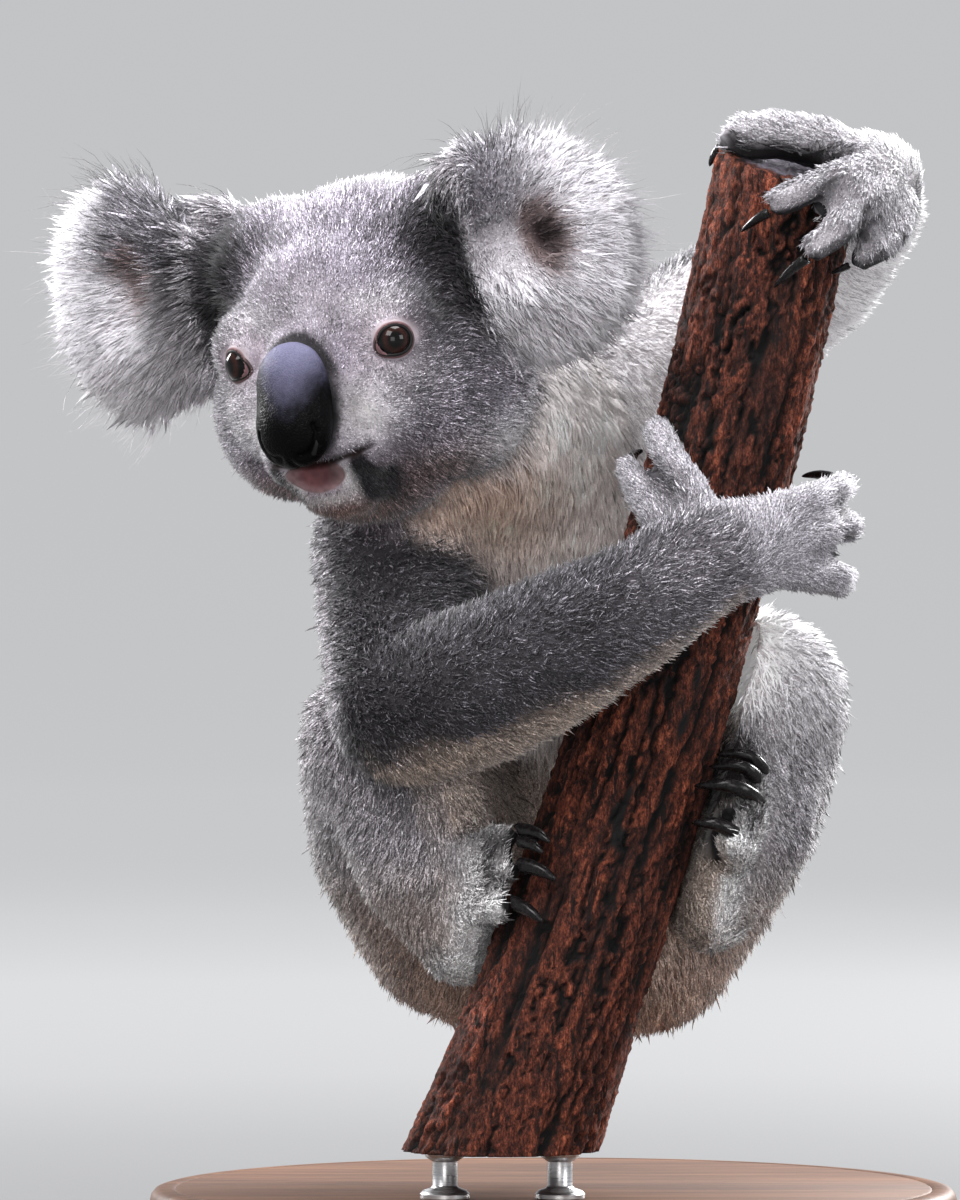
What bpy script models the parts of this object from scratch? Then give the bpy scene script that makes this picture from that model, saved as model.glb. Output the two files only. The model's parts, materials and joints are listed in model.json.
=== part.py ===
"""A koala clinging to a short length of tree trunk, life size, on a plain display stand.

Each flesh part is a cluster of ellipsoids fused by a voxel remesh, smoothed and thinned to
a light mesh. Neighbours are then cleared of one another, so that every part is a solid of
its own with a hairline gap round it. Sizes are in millimetres here and become metres in
the meshes. +X is the viewer's right, -Y faces the viewer, +Z is up, and the origin is on
the floor under the middle of the stand.
"""

import math

import bmesh
import bpy
from mathutils import Euler, Matrix, Vector

for old in list(bpy.data.objects):
    bpy.data.objects.remove(old, do_unlink=True)

MM = 0.001
GAP = 0.36

# ---------------------------------------------------------------- driving sizes
BASE_RADIUS = 165
BASE_THICK = 16
BASE_EDGE = 4
ROD_RADIUS = 5
ROD_COLLAR = 10
ROD_SPACING = 46
ROD_SIDES = 12

PERCH_FOOT = 36
PERCH_FOOT_X = -21
PERCH_TOP = 431
PERCH_LEAN = (0.368, -0.000185)
PERCH_THIN = 31.4
PERCH_FLARE = 10
PERCH_FLARE_LENGTH = 110
PERCH_SIDES = 24
PERCH_RINGS = 10
BARK_RELIEF = 0.035

HEAD_CENTRE = (-70, -50, 359)
HEAD_YAW = -30
HEAD_ROLL = -8
HEAD_PITCH = 6
EYE_RADIUS = 8.6
EYES = {"right": (-31.5, -52.5, 4), "left": (36, -51, 4)}
EARS = {
    "right": ((-106, -12, 34.5), (50, 17, 56)),
    "left": ((84, -10, 29), (46, 17, 53)),
}
EAR_TURN = 14
EAR_LEAN = 12
NOSE_TILT = -8

PELVIS = (16, 50, 137)
BELLY = (3, 55, 187)
RIBS = (-15, 38, 246)
NAPE = (-22, -8, 321)

SHOULDER_RIGHT = (-62, -10, 276)
ELBOW_RIGHT = (-58, -90, 214)
WRIST_RIGHT = (58, -126, 272)
SHOULDER_LEFT = (15, 14, 332)
ELBOW_LEFT = (78, 35, 374)
WRIST_LEFT = (130, -36, 415)

HIP_RIGHT = (-27, 46, 131)
KNEE_RIGHT = (-66, -40, 200)
HEEL_RIGHT = (-37, -52, 120)
HIP_LEFT = (36, 52, 135)
KNEE_LEFT = (80, -36, 215)
HEEL_LEFT = (63, -52, 133)


# ---------------------------------------------------------------- tools
def turned(x=0.0, y=0.0, z=0.0):
    return Euler([math.radians(a) for a in (x, y, z)]).to_matrix().to_4x4()


def ball(bm, centre, radii, turn=None, detail=3):
    """Adds an ellipsoid; radii is one number or three."""
    if not hasattr(radii, "__len__"):
        radii = (radii, radii, radii)
    place = Matrix.Translation(Vector(centre) * MM) @ (turn or Matrix.Identity(4))
    size = Matrix.Diagonal([radii[0] * MM, radii[1] * MM, radii[2] * MM, 1])
    bmesh.ops.create_icosphere(bm, subdivisions=detail, radius=1, matrix=place @ size)


def triple(radii):
    return Vector(radii) if hasattr(radii, "__len__") else Vector((radii,) * 3)


def limb(bm, *stations, detail=3):
    """Adds overlapping balls from station to station; a station is (centre, radii)."""
    for (start, thick), (end, thin) in zip(stations, stations[1:]):
        start, end = Vector(start), Vector(end)
        thick, thin = triple(thick), triple(thin)
        steps = max(2, math.ceil((end - start).length / (0.32 * min(*thick, *thin))))
        for i in range(steps + 1):
            t = i / steps
            ball(bm, start.lerp(end, t), thick.lerp(thin, t), detail=detail)


def evaluated(obj):
    bpy.context.view_layer.update()
    graph = bpy.context.evaluated_depsgraph_get()
    return bpy.data.meshes.new_from_object(obj.evaluated_get(graph))


def bake(obj):
    """Turns the object's modifiers into its mesh."""
    mesh = evaluated(obj)
    obj.modifiers.clear()
    obj.data = mesh


def make_object(name, bm):
    mesh = bpy.data.meshes.new(name)
    bmesh.ops.recalc_face_normals(bm, faces=bm.faces)
    bm.to_mesh(mesh)
    bm.free()
    obj = bpy.data.objects.new(name, mesh)
    bpy.context.scene.collection.objects.link(obj)
    return obj


def triangles(mesh):
    return sum(len(p.vertices) - 2 for p in mesh.polygons)


def boolean(obj, cutter, operation="DIFFERENCE"):
    cut = obj.modifiers.new("cut", "BOOLEAN")
    cut.object = cutter
    cut.operation = operation
    cut.solver = "EXACT"
    bake(obj)


def fuse(obj, voxel, smoothing):
    remesh = obj.modifiers.new("fuse", "REMESH")
    remesh.mode = "VOXEL"
    remesh.voxel_size = voxel * MM
    soft = obj.modifiers.new("soften", "SMOOTH")
    soft.factor = 0.5
    soft.iterations = smoothing
    bake(obj)


def thin_to(obj, count):
    thin = obj.modifiers.new("thin", "DECIMATE")
    thin.ratio = min(1.0, count / triangles(obj.data))
    thin.use_collapse_triangulate = True
    bake(obj)


def loose_pieces(bm):
    """The connected pieces of a mesh as sets of faces, largest first."""
    bmesh.ops.remove_doubles(bm, verts=bm.verts, dist=1e-6)
    left = set(bm.faces)
    pieces = []
    while left:
        seed = left.pop()
        piece = {seed}
        frontier = [seed]
        while frontier:
            face = frontier.pop()
            for edge in face.edges:
                for other in edge.link_faces:
                    if other in left:
                        left.discard(other)
                        piece.add(other)
                        frontier.append(other)
        pieces.append(piece)
    return sorted(pieces, key=lambda piece: -sum(f.calc_area() for f in piece))


def keep_piece(obj, rank=0):
    """Leaves one connected piece of the mesh, by default the largest."""
    bm = bmesh.new()
    bm.from_mesh(obj.data)
    pieces = loose_pieces(bm)
    loose = [f for i, piece in enumerate(pieces) for f in piece if i != rank]
    if loose:
        bmesh.ops.delete(bm, geom=loose, context="FACES")
    bm.to_mesh(obj.data)
    bm.free()


def inflated(obj, by=GAP):
    """A copy of the object, grown by the gap along its normals."""
    bm = bmesh.new()
    bm.from_mesh(obj.data)
    bmesh.ops.triangulate(bm, faces=bm.faces)
    bm.normal_update()
    moves = [v.normal * min(v.calc_shell_factor(), 1.6) * by * MM for v in bm.verts]
    for v, move in zip(bm.verts, moves):
        v.co += move
    mesh = bpy.data.meshes.new("grown")
    bm.to_mesh(mesh)
    bm.free()
    copy = bpy.data.objects.new("grown", mesh)
    bpy.context.scene.collection.objects.link(copy)
    return copy


def clear_of(obj, *others, by=GAP):
    """Cuts the other solids, grown by the gap, out of the object."""
    for other in others:
        cutter = inflated(other, by)
        boolean(obj, cutter)
        bpy.data.objects.remove(cutter, do_unlink=True)
        keep_piece(obj)


def flesh(name, bm, voxel, smoothing, count):
    obj = make_object(name, bm)
    fuse(obj, voxel, smoothing)
    thin_to(obj, count)
    return obj


# ---------------------------------------------------------------- perch and stand
def perch_axis(z):
    """The trunk's axis leans to the viewer's right, less towards the top."""
    rise = z - PERCH_FOOT
    return Vector((PERCH_FOOT_X + PERCH_LEAN[0] * rise + PERCH_LEAN[1] * rise * rise, -70, z))


def perch_radius(z):
    return PERCH_THIN + PERCH_FLARE * math.exp(-(z - PERCH_FOOT) / PERCH_FLARE_LENGTH)


def bark(angle, z):
    """Low ridges that run up the trunk and wander round it."""
    drift = angle + 0.6 * math.sin(z / 70)
    return 0.5 * math.sin(5 * drift) + 0.5 * math.sin(3 * drift + z / 40)


def make_perch():
    bm = bmesh.new()
    rings = []
    for j in range(PERCH_RINGS + 1):
        t = j / PERCH_RINGS
        height = PERCH_FOOT + (PERCH_TOP - PERCH_FOOT) * t
        ring = []
        for i in range(PERCH_SIDES):
            angle = 2 * math.pi * i / PERCH_SIDES
            radius = perch_radius(height) * (1 + BARK_RELIEF * bark(angle, height))
            # the foot is sawn level, the top square to the lean
            tip = -0.24 * t**4 * radius * math.cos(angle)
            place = perch_axis(height + tip)
            across = Vector((math.cos(angle), math.sin(angle), 0)) * radius
            ring.append(bm.verts.new((place + across) * MM))
        rings.append(ring)
    for lower, upper in zip(rings, rings[1:]):
        for i in range(PERCH_SIDES):
            k = (i + 1) % PERCH_SIDES
            bm.faces.new((lower[i], lower[k], upper[k], upper[i]))
    bm.faces.new(rings[0][::-1])
    bm.faces.new(rings[-1])
    return make_object("perch", bm)


def make_stand():
    bm = bmesh.new()
    place = Matrix.Translation((0, 0, BASE_THICK / 2 * MM))
    bmesh.ops.create_cone(
        bm,
        cap_ends=True,
        segments=40,
        radius1=BASE_RADIUS * MM,
        radius2=BASE_RADIUS * MM,
        depth=BASE_THICK * MM,
        matrix=place,
    )
    top_rim = [e for e in bm.edges if all(v.co.z > BASE_THICK * 0.9 * MM for v in e.verts)]
    bmesh.ops.bevel(bm, geom=top_rim, offset=BASE_EDGE * MM, segments=2, affect="EDGES", profile=0.5)
    made = [make_object("stand_base", bm)]
    foot = perch_axis(PERCH_FOOT)
    for side, name in ((-1, "stand_rod_left"), (1, "stand_rod_right")):
        bm = bmesh.new()
        x = foot.x + side * ROD_SPACING / 2
        low = BASE_THICK + GAP
        high = PERCH_FOOT - GAP
        profile = (
            (ROD_COLLAR, low),
            (ROD_COLLAR, low + 3),
            (ROD_RADIUS + 1, low + 5),
            (ROD_RADIUS, low + 5),
            (ROD_RADIUS, high - 4),
            (ROD_RADIUS + 3, high - 2.5),
            (ROD_RADIUS + 3, high),
        )
        rings = []
        for radius, z in profile:
            ring = []
            for i in range(ROD_SIDES):
                a = 2 * math.pi * i / ROD_SIDES
                spot = (x + radius * math.cos(a), foot.y + radius * math.sin(a), z)
                ring.append(bm.verts.new(Vector(spot) * MM))
            rings.append(ring)
        for lower, upper in zip(rings, rings[1:]):
            for i in range(ROD_SIDES):
                k = (i + 1) % ROD_SIDES
                bm.faces.new((lower[i], lower[k], upper[k], upper[i]))
        bm.faces.new(rings[0][::-1])
        bm.faces.new(rings[-1])
        made.append(make_object(name, bm))
    return made


perch = make_perch()
make_stand()

# ---------------------------------------------------------------- torso
bm = bmesh.new()
ball(bm, PELVIS, (74, 68, 62))
ball(bm, (-20, 52, 126), (58, 60, 52))
ball(bm, (32, 54, 119), (50, 56, 46))
ball(bm, BELLY, (86, 76, 76))
ball(bm, (-34, 54, 173), (66, 70, 66))
ball(bm, (-5, 56, 218), (82, 74, 72))
ball(bm, RIBS, (80, 74, 74))
ball(bm, (-3, 46, 281), (70, 68, 68))
ball(bm, (-14, 12, 297), (62, 56, 58))
ball(bm, NAPE, (58, 54, 55))
ball(bm, (-5, 22, 314), (52, 52, 50))
ball(bm, (-37, -25, 331), (58, 56, 56))
torso = flesh("torso", bm, 3.5, 25, 780)


# ---------------------------------------------------------------- head
SKULL = Matrix.Translation(HEAD_CENTRE) @ turned(y=HEAD_ROLL) @ turned(z=HEAD_YAW) @ turned(x=HEAD_PITCH)
SKULL_TURN = SKULL.to_3x3().to_4x4()


def on_head(x, y, z):
    """A point in the head's own frame: -y is forward, +x the animal's left."""
    return SKULL @ Vector((x, y, z))


def head_ball(bm, place, radii, turn=None):
    ball(bm, on_head(*place), radii, SKULL_TURN @ (turn or Matrix.Identity(4)))


bm = bmesh.new()
head_ball(bm, (0, 4, 6), (66, 58, 62))
for side in (-1, 1):
    head_ball(bm, (side * 38, 2, 36), (33, 36, 30))
    head_ball(bm, (side * 36, -12, -20), (32, 42, 38))
    head_ball(bm, (side * 33, -40, 8), (20, 16, 20))
    head_ball(bm, (side * 25, -42, -16), (22, 24, 24))
    head_ball(bm, (side * 13, -54, -36), (16, 17, 13))
head_ball(bm, (0, -48, -10), (25, 28, 32))
head_ball(bm, (0, -48, -49), (20, 20, 15))
head_ball(bm, (0, -20, -48), (34, 34, 22))
head_ball(bm, (0, -36, 20), (36, 24, 30))
head = flesh("head", bm, 2.4, 9, 800)

eyes = []
ears = []
for name, (place, size) in EARS.items():
    side = math.copysign(1, place[0])
    bm = bmesh.new()
    head_ball(bm, EYES[name], EYE_RADIUS)
    eye = make_object("eye_" + name, bm)
    thin_to(eye, 80)
    eyes.append(eye)
    # a round fan with a thick root, hollowed in front
    face = turned(z=side * EAR_TURN) @ turned(y=-side * EAR_LEAN)
    bm = bmesh.new()
    head_ball(bm, place, size, face)
    head_ball(bm, (side * 66, 2, 38), (30, 18, 34), face)
    head_ball(bm, (side * 78, -6, 12), (26, 15, 26), face)
    ear = make_object("ear_" + name, bm)
    fuse(ear, 2.4, 6)
    bm = bmesh.new()
    head_ball(bm, (place[0] - side * 5, place[1] - 22, place[2]), (21, 15, 24), face)
    conch = make_object("conch", bm)
    boolean(ear, conch)
    bpy.data.objects.remove(conch, do_unlink=True)
    fuse(ear, 2.4, 3)
    thin_to(ear, 220)
    ears.append(ear)

bm = bmesh.new()
tilt = turned(x=NOSE_TILT)
head_ball(bm, (-0.5, -73, -13), (16, 12, 25), tilt)
head_ball(bm, (-0.5, -77.5, -21), (16.5, 11, 18), tilt)
nose = flesh("nose", bm, 1.2, 4, 150)

# ---------------------------------------------------------------- arms
bm = bmesh.new()
limb(bm, (SHOULDER_RIGHT, (38, 40, 38)), (ELBOW_RIGHT, (34, 33, 34)))
limb(
    bm,
    (ELBOW_RIGHT, (33, 32, 33)),
    ((-30, -110, 222), (33, 31, 33)),
    ((1, -126, 238), (31, 26, 31)),
    ((33, -130, 255), (26, 22, 26)),
    (WRIST_RIGHT, (22, 18, 24)),
)
arm_right = flesh("arm_right", bm, 3, 6, 340)

bm = bmesh.new()
limb(bm, (SHOULDER_LEFT, 41), (ELBOW_LEFT, 36), ((106, 6, 392), 31), (WRIST_LEFT, 22))
arm_left = flesh("arm_left", bm, 3, 6, 280)


def digit(bm, *stations):
    limb(bm, *stations, detail=2)


bm = bmesh.new()
limb(
    bm,
    (WRIST_RIGHT, (20, 15, 22)),
    ((74, -120, 276), (17, 12, 20)),
    ((86, -115, 279), (14, 11, 19)),
)
digit(bm, ((84, -116, 289), 9), ((99, -108, 294), 8.2), ((110, -94, 298), 7.8), ((114, -74, 301), 7))
digit(bm, ((86, -116, 280), 9), ((101, -108, 282), 8.2), ((114, -94, 284), 7.8), ((116, -72, 286), 7))
digit(bm, ((82, -116, 269), 9), ((97, -108, 267), 8.2), ((110, -95, 265), 7.6), ((114, -76, 264), 7))
digit(bm, ((62, -120, 280), 10), ((53, -118, 298), 8.4), ((45, -112, 312), 7.6), ((41, -102, 322), 7))
digit(bm, ((53, -120, 274), 11), ((41, -114, 288), 8.6), ((34, -107, 299), 7.4), ((30, -97, 307), 7))
hand_right = flesh("hand_right", bm, 1.6, 4, 420)

bm = bmesh.new()
limb(
    bm,
    (WRIST_LEFT, (20, 19, 21)),
    ((131, -54, 426), (17, 18, 17)),
    ((125, -66, 431), (13, 18, 13)),
)
digit(
    bm,
    ((121, -70, 435), 9),
    ((107, -76, 441), 8.2),
    ((89, -80, 444), 8),
    ((75, -82, 443), 7.8),
    ((70, -82, 439), 7),
)
digit(bm, ((124, -54, 434), 9), ((109, -48, 440), 8.2), ((94, -46, 440), 8), ((84, -50, 438), 7))
digit(bm, ((125, -78, 428), 9.4), ((112, -101, 422), 8.8), ((99, -110, 417), 8.2), ((89, -111, 413), 7.4))
digit(bm, ((131, -76, 424), 9.6), ((124, -97, 413), 9), ((113, -110, 403), 8.6), ((103, -112, 395), 7.6))
digit(bm, ((137, -68, 416), 9), ((134, -84, 404), 8.4), ((128, -94, 396), 8), ((122, -94, 392), 7))
hand_left = flesh("hand_left", bm, 1.6, 4, 420)

# ---------------------------------------------------------------- legs
bm = bmesh.new()
limb(bm, (HIP_RIGHT, (58, 56, 54)), ((-51, 8, 162), (50, 50, 50)), (KNEE_RIGHT, 38))
limb(bm, (KNEE_RIGHT, 35), ((-51, -50, 151), 30), (HEEL_RIGHT, 19))
leg_right = flesh("leg_right", bm, 3.2, 7, 320)

bm = bmesh.new()
limb(bm, (HIP_LEFT, 54), ((63, 10, 173), 48.5), (KNEE_LEFT, 40))
limb(bm, (KNEE_LEFT, 36), ((77, -48, 167), 29), (HEEL_LEFT, 19))
leg_left = flesh("leg_left", bm, 3.2, 7, 320)

bm = bmesh.new()
limb(bm, (HEEL_RIGHT, (18, 19, 19)), ((-33, -62, 136), (14, 18, 18)), ((-30, -68, 149), (12, 15, 17)))
digit(bm, ((-30, -68, 155), 9), ((-26, -82, 160), 7.8), ((-19, -93, 161), 7.2))
digit(bm, ((-30, -72, 148), 9.6), ((-26, -87, 149), 8.8), ((-19, -98, 149), 7.2))
digit(bm, ((-32, -72, 135), 9.6), ((-28, -87, 134), 9), ((-22, -97, 134), 7))
digit(bm, ((-34, -54, 129), 10), ((-29, -28, 132), 9), ((-17, -18, 138), 8))
foot_right = flesh("foot_right", bm, 1.6, 4, 330)

bm = bmesh.new()
limb(bm, (HEEL_LEFT, (18, 19, 19)), ((67, -62, 149), (14, 18, 18)), ((71, -68, 161), (12, 15, 17)))
digit(bm, ((74, -68, 167), 9), ((80, -78, 176), 8), ((79, -87, 184), 7.4))
digit(bm, ((75, -74, 164), 9.6), ((79, -88, 171), 8.6), ((75, -98, 173), 7.2))
digit(bm, ((70, -74, 152), 9.6), ((73, -90, 157), 8.4), ((70, -99, 159), 7))
digit(bm, ((66, -54, 143), 10), ((62, -28, 146), 9), ((53, -20, 151), 8))
foot_left = flesh("foot_left", bm, 1.6, 4, 330)


# ---------------------------------------------------------------- claws
def claw(name, root, bend, tip, thick, sides=6, rings=4):
    """A curved, tapering spike from root to tip, pulled towards bend on the way."""
    root, bend, tip = Vector(root), Vector(bend), Vector(tip)
    bm = bmesh.new()
    circles = []
    side = (bend - root).cross(tip - root).normalized()
    for j in range(rings):
        t = j / rings
        place = root * (1 - t) ** 2 + bend * 2 * t * (1 - t) + tip * t * t
        along = ((bend - root) * (1 - t) + (tip - bend) * t).normalized()
        out = along.cross(side).normalized()
        radius = thick * (1 - t) ** 0.75
        circle = []
        for i in range(sides):
            a = 2 * math.pi * i / sides
            spot = place + side * math.cos(a) * radius * 0.72 + out * math.sin(a) * radius
            circle.append(bm.verts.new(spot * MM))
        circles.append(circle)
    end = bm.verts.new(tip * MM)
    for a, b in zip(circles, circles[1:]):
        for i in range(sides):
            k = (i + 1) % sides
            bm.faces.new((a[i], a[k], b[k], b[i]))
    for i in range(sides):
        bm.faces.new((circles[-1][i], circles[-1][(i + 1) % sides], end))
    bm.faces.new(circles[0][::-1])
    return make_object(name, bm)


CLAWS = {
    "hand_right": (
        ((42, -98, 319), (38, -90, 326), (44, -74, 323), 2.6),
        ((31, -92, 304), (27, -82, 315), (36, -68, 316), 2.6),
        ((113, -70, 302), (110, -58, 309), (99, -56, 305), 2.8),
        ((116, -68, 285), (116, -54, 287), (101, -48, 285), 2.6),
        ((113, -72, 264), (113, -58, 264), (99, -54, 262), 2.5),
    ),
    "hand_left": (
        ((72, -66, 440), (64, -58, 439), (63, -56, 430), 2.5),
        ((87, -50, 439), (76, -46, 443), (68, -44, 434), 2.6),
        ((90, -111, 411), (81, -112, 409), (74, -102, 402), 3),
        ((103, -112, 393), (94, -113, 389), (87, -103, 380), 3),
        ((122, -94, 391), (117, -96, 389), (110, -90, 386), 2.6),
    ),
    "foot_right": (
        ((-19, -90, 163), (-9, -101, 168), (-3, -107, 160), 2.4),
        ((-19, -91, 159), (-10, -103, 163), (-6, -108, 156), 2.4),
        ((-19, -95, 150), (-7, -108, 153), (-1, -109, 145), 3.1),
        ((-22, -93, 136), (-12, -106, 137), (-6, -109, 129), 2.9),
    ),
    "foot_left": (
        ((83, -84, 180), (83, -96, 201), (65, -86, 193), 3.2),
        ((80, -88, 179), (80, -102, 196), (62, -90, 188), 3),
        ((80, -96, 176), (71, -113, 187), (56, -94, 181), 3.4),
        ((74, -97, 161), (63, -114, 171), (55, -98, 167), 3.1),
    ),
}

# ---------------------------------------------------------------- clearances
def split(obj, place, along, before, after, radius=140):
    """Parts the object with a hairline cut at place, square to along."""
    bm = bmesh.new()
    spin = Vector((0, 0, 1)).rotation_difference(Vector(along).normalized()).to_matrix().to_4x4()
    spot = Matrix.Translation(Vector(place) * MM) @ spin
    bmesh.ops.create_cone(
        bm,
        cap_ends=True,
        segments=24,
        radius1=radius * MM,
        radius2=radius * MM,
        depth=GAP * MM,
        matrix=spot,
    )
    disc = make_object("disc", bm)
    boolean(obj, disc)
    bpy.data.objects.remove(disc, do_unlink=True)
    halves = []
    for rank in (0, 1):
        half = bpy.data.objects.new("half", obj.data.copy())
        bpy.context.scene.collection.objects.link(half)
        keep_piece(half, rank)
        halves.append(half)
    bpy.data.objects.remove(obj, do_unlink=True)

    def reach(half):
        return sum((v.co.dot(along) for v in half.data.vertices), 0.0) / len(half.data.vertices)

    halves.sort(key=reach)
    halves[0].name = before
    halves[1].name = after
    return halves


clear_of(head, nose, *eyes)
for ear in ears:
    clear_of(ear, head)
clear_of(torso, head, *ears)
clear_of(torso, perch)
for limb_end in (hand_right, hand_left, foot_right, foot_left):
    clear_of(limb_end, perch, by=0.6)
for whole, end in (
    (arm_right, hand_right),
    (arm_left, hand_left),
    (leg_right, foot_right),
    (leg_left, foot_left),
):
    clear_of(whole, end, by=0.6)
    clear_of(whole, perch, torso)
for whole in (arm_left, arm_right):
    clear_of(whole, head, *ears)
clear_of(leg_right, arm_right, by=2)
clear_of(leg_left, leg_right, arm_right)


def bend_axis(root, joint, end):
    return (Vector(end) - Vector(joint)).normalized() - (Vector(root) - Vector(joint)).normalized()


for whole, joints, root_name, end_name in (
    (arm_right, (SHOULDER_RIGHT, ELBOW_RIGHT, WRIST_RIGHT), "upper_arm_right", "forearm_right"),
    (arm_left, (SHOULDER_LEFT, ELBOW_LEFT, WRIST_LEFT), "upper_arm_left", "forearm_left"),
    (leg_right, (HIP_RIGHT, KNEE_RIGHT, HEEL_RIGHT), "thigh_right", "shank_right"),
    (leg_left, (HIP_LEFT, KNEE_LEFT, HEEL_LEFT), "thigh_left", "shank_left"),
):
    split(whole, joints[1], bend_axis(*joints), root_name, end_name)
collar = (Vector(NAPE) + Vector(RIBS)) / 2
waist = (Vector(RIBS) + Vector(BELLY)) / 2
upper, neck = split(torso, collar, Vector(NAPE) - Vector(RIBS), "upper", "neck")
abdomen, chest = split(upper, waist, Vector(RIBS) - Vector(BELLY), "abdomen", "chest")

owners = {part.name: part for part in (hand_right, hand_left, foot_right, foot_left)}
claws = []
for owner, spikes in CLAWS.items():
    first = 1 if owner.startswith("hand") else 2
    for number, spike in enumerate(spikes, first):
        side = owner.split("_")[1]
        made = claw(f"claw_{owner}_{number}", *spike)
        clear_of(made, owners[owner], perch)
        for earlier in claws[-2:]:
            clear_of(made, earlier)
        claws.append(made)


# ---------------------------------------------------------------- materials
def material(name, color, roughness, metallic=0.0):
    made = bpy.data.materials.new(name)
    made.use_nodes = True
    shader = made.node_tree.nodes["Principled BSDF"]
    shader.inputs["Base Color"].default_value = (*color, 1)
    shader.inputs["Roughness"].default_value = roughness
    shader.inputs["Metallic"].default_value = metallic
    made.diffuse_color = (*color, 1)
    return made


GREY_FUR = (0.24, 0.235, 0.245)
PALE_FUR = (0.62, 0.58, 0.55)
LOOKS = {
    "neck": (PALE_FUR, 0.9),
    "ear": ((0.5, 0.48, 0.49), 0.9),
    "eye": ((0.03, 0.014, 0.008), 0.06),
    "nose": ((0.018, 0.017, 0.02), 0.42),
    "claw": ((0.012, 0.011, 0.012), 0.25),
    "perch": ((0.2, 0.072, 0.045), 0.85),
    "stand_base": ((0.2, 0.11, 0.055), 0.4),
    "stand_rod": ((0.5, 0.5, 0.51), 0.3, 1.0),
}
for obj in bpy.context.scene.objects:
    look = (GREY_FUR, 0.9)
    for start, values in LOOKS.items():
        if obj.name.startswith(start):
            look = values
    obj.data.materials.clear()
    obj.data.materials.append(material(obj.name, *look))
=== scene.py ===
# %% [markdown]
# # A koala on a cut trunk, as a museum model
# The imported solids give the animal's true outline, out to the tips of its coat, so they are the
# frame that everything here is fitted to. On the real animal three layers make the look: a skin with
# folds, lids and pads, a dense woolly coat that hides it, and hard glossy parts. They are made in
# that order, each as its own piece. All work is in millimetres until a mesh is written.

# %% Load the frame
import json
import math

import bmesh
import bpy
import numpy as np
from mathutils import Matrix, Vector
from mathutils.bvhtree import BVHTree
from mathutils.kdtree import KDTree

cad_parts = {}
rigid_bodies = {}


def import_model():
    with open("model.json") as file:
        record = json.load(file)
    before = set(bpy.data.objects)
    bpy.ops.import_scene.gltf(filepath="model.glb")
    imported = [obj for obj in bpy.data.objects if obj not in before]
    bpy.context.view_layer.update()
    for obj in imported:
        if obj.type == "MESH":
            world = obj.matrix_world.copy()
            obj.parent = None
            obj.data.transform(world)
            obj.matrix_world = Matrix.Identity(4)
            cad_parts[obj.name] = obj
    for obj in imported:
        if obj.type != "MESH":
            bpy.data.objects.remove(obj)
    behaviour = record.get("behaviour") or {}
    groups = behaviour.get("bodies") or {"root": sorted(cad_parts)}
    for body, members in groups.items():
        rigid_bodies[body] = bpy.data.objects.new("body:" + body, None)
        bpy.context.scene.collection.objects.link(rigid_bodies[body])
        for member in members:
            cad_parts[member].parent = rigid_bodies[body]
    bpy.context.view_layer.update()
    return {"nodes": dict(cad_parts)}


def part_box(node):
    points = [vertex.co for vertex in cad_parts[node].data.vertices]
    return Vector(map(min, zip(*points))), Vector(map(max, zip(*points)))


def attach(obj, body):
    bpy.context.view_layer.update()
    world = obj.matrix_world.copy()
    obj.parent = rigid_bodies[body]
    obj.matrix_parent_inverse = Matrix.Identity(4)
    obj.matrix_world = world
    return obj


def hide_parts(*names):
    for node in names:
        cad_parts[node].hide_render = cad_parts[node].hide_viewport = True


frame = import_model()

MM = 0.001
WELD = 1e-6  # metres between points that are one
nodes = frame["nodes"]
HARD = ("eye_", "nose", "claw_", "perch", "stand_")
FLESH = sorted(name for name in nodes if not name.startswith(HARD))
print(len(nodes), "nodes,", len(FLESH), "of flesh")


# %% [markdown]
# Operators act on whatever is selected, and a fresh import leaves every node selected. These small
# helpers keep that in hand: one clears the selection, one makes a single object active, one adds a
# modifier and applies it at once, and one runs an operator of edit mode on a whole mesh.

# %% Helpers for objects
def deselect():
    for obj in bpy.context.view_layer.objects:
        obj.select_set(False)


def pick(obj):
    deselect()
    obj.select_set(True)
    bpy.context.view_layer.objects.active = obj


def apply_modifier(obj, kind, **settings):
    pick(obj)
    modifier = obj.modifiers.new(kind.lower(), kind)
    for key, value in settings.items():
        setattr(modifier, key, value)
    bpy.ops.object.modifier_apply(modifier=modifier.name)


def edit_all(obj, operator, **settings):
    pick(obj)
    bpy.ops.object.mode_set(mode="EDIT")
    bpy.ops.mesh.select_all(action="SELECT")
    operator(**settings)
    bpy.ops.object.mode_set(mode="OBJECT")


def add_object(name, data):
    obj = bpy.data.objects.new(name, data)
    bpy.context.scene.collection.objects.link(obj)
    return obj


def merged_copy(name, grow=0.0):
    """A copy of a CAD node with its vertices merged, pushed out by grow millimetres."""
    bm = bmesh.new()
    bm.from_mesh(nodes[name].data)
    bmesh.ops.remove_doubles(bm, verts=bm.verts, dist=WELD)
    bm.normal_update()
    for vert in bm.verts:
        vert.co += vert.normal * grow * MM
    mesh = bpy.data.meshes.new("copy_" + name)
    bm.to_mesh(mesh)
    bm.free()
    return add_object("copy_" + name, mesh)


def joined(objects):
    deselect()
    for obj in objects:
        obj.select_set(True)
    bpy.context.view_layer.objects.active = objects[0]
    bpy.ops.object.join()
    return objects[0]


deselect()
print("selected:", sum(obj.select_get() for obj in bpy.context.view_layer.objects))

# %% [markdown]
# A mesh hands over its points as one flat list, and takes them back in the same way. Worked on as
# arrays, a hundred thousand points move in one step, where a loop over the vertices would take
# minutes. The last of these functions are the soft steps that every shape and colour is made of.

# %% Helpers for arrays
def get_points(mesh):
    flat = np.empty(len(mesh.vertices) * 3, np.float32)
    mesh.vertices.foreach_get("co", flat)
    return flat.reshape(-1, 3).astype(float) / MM


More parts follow.
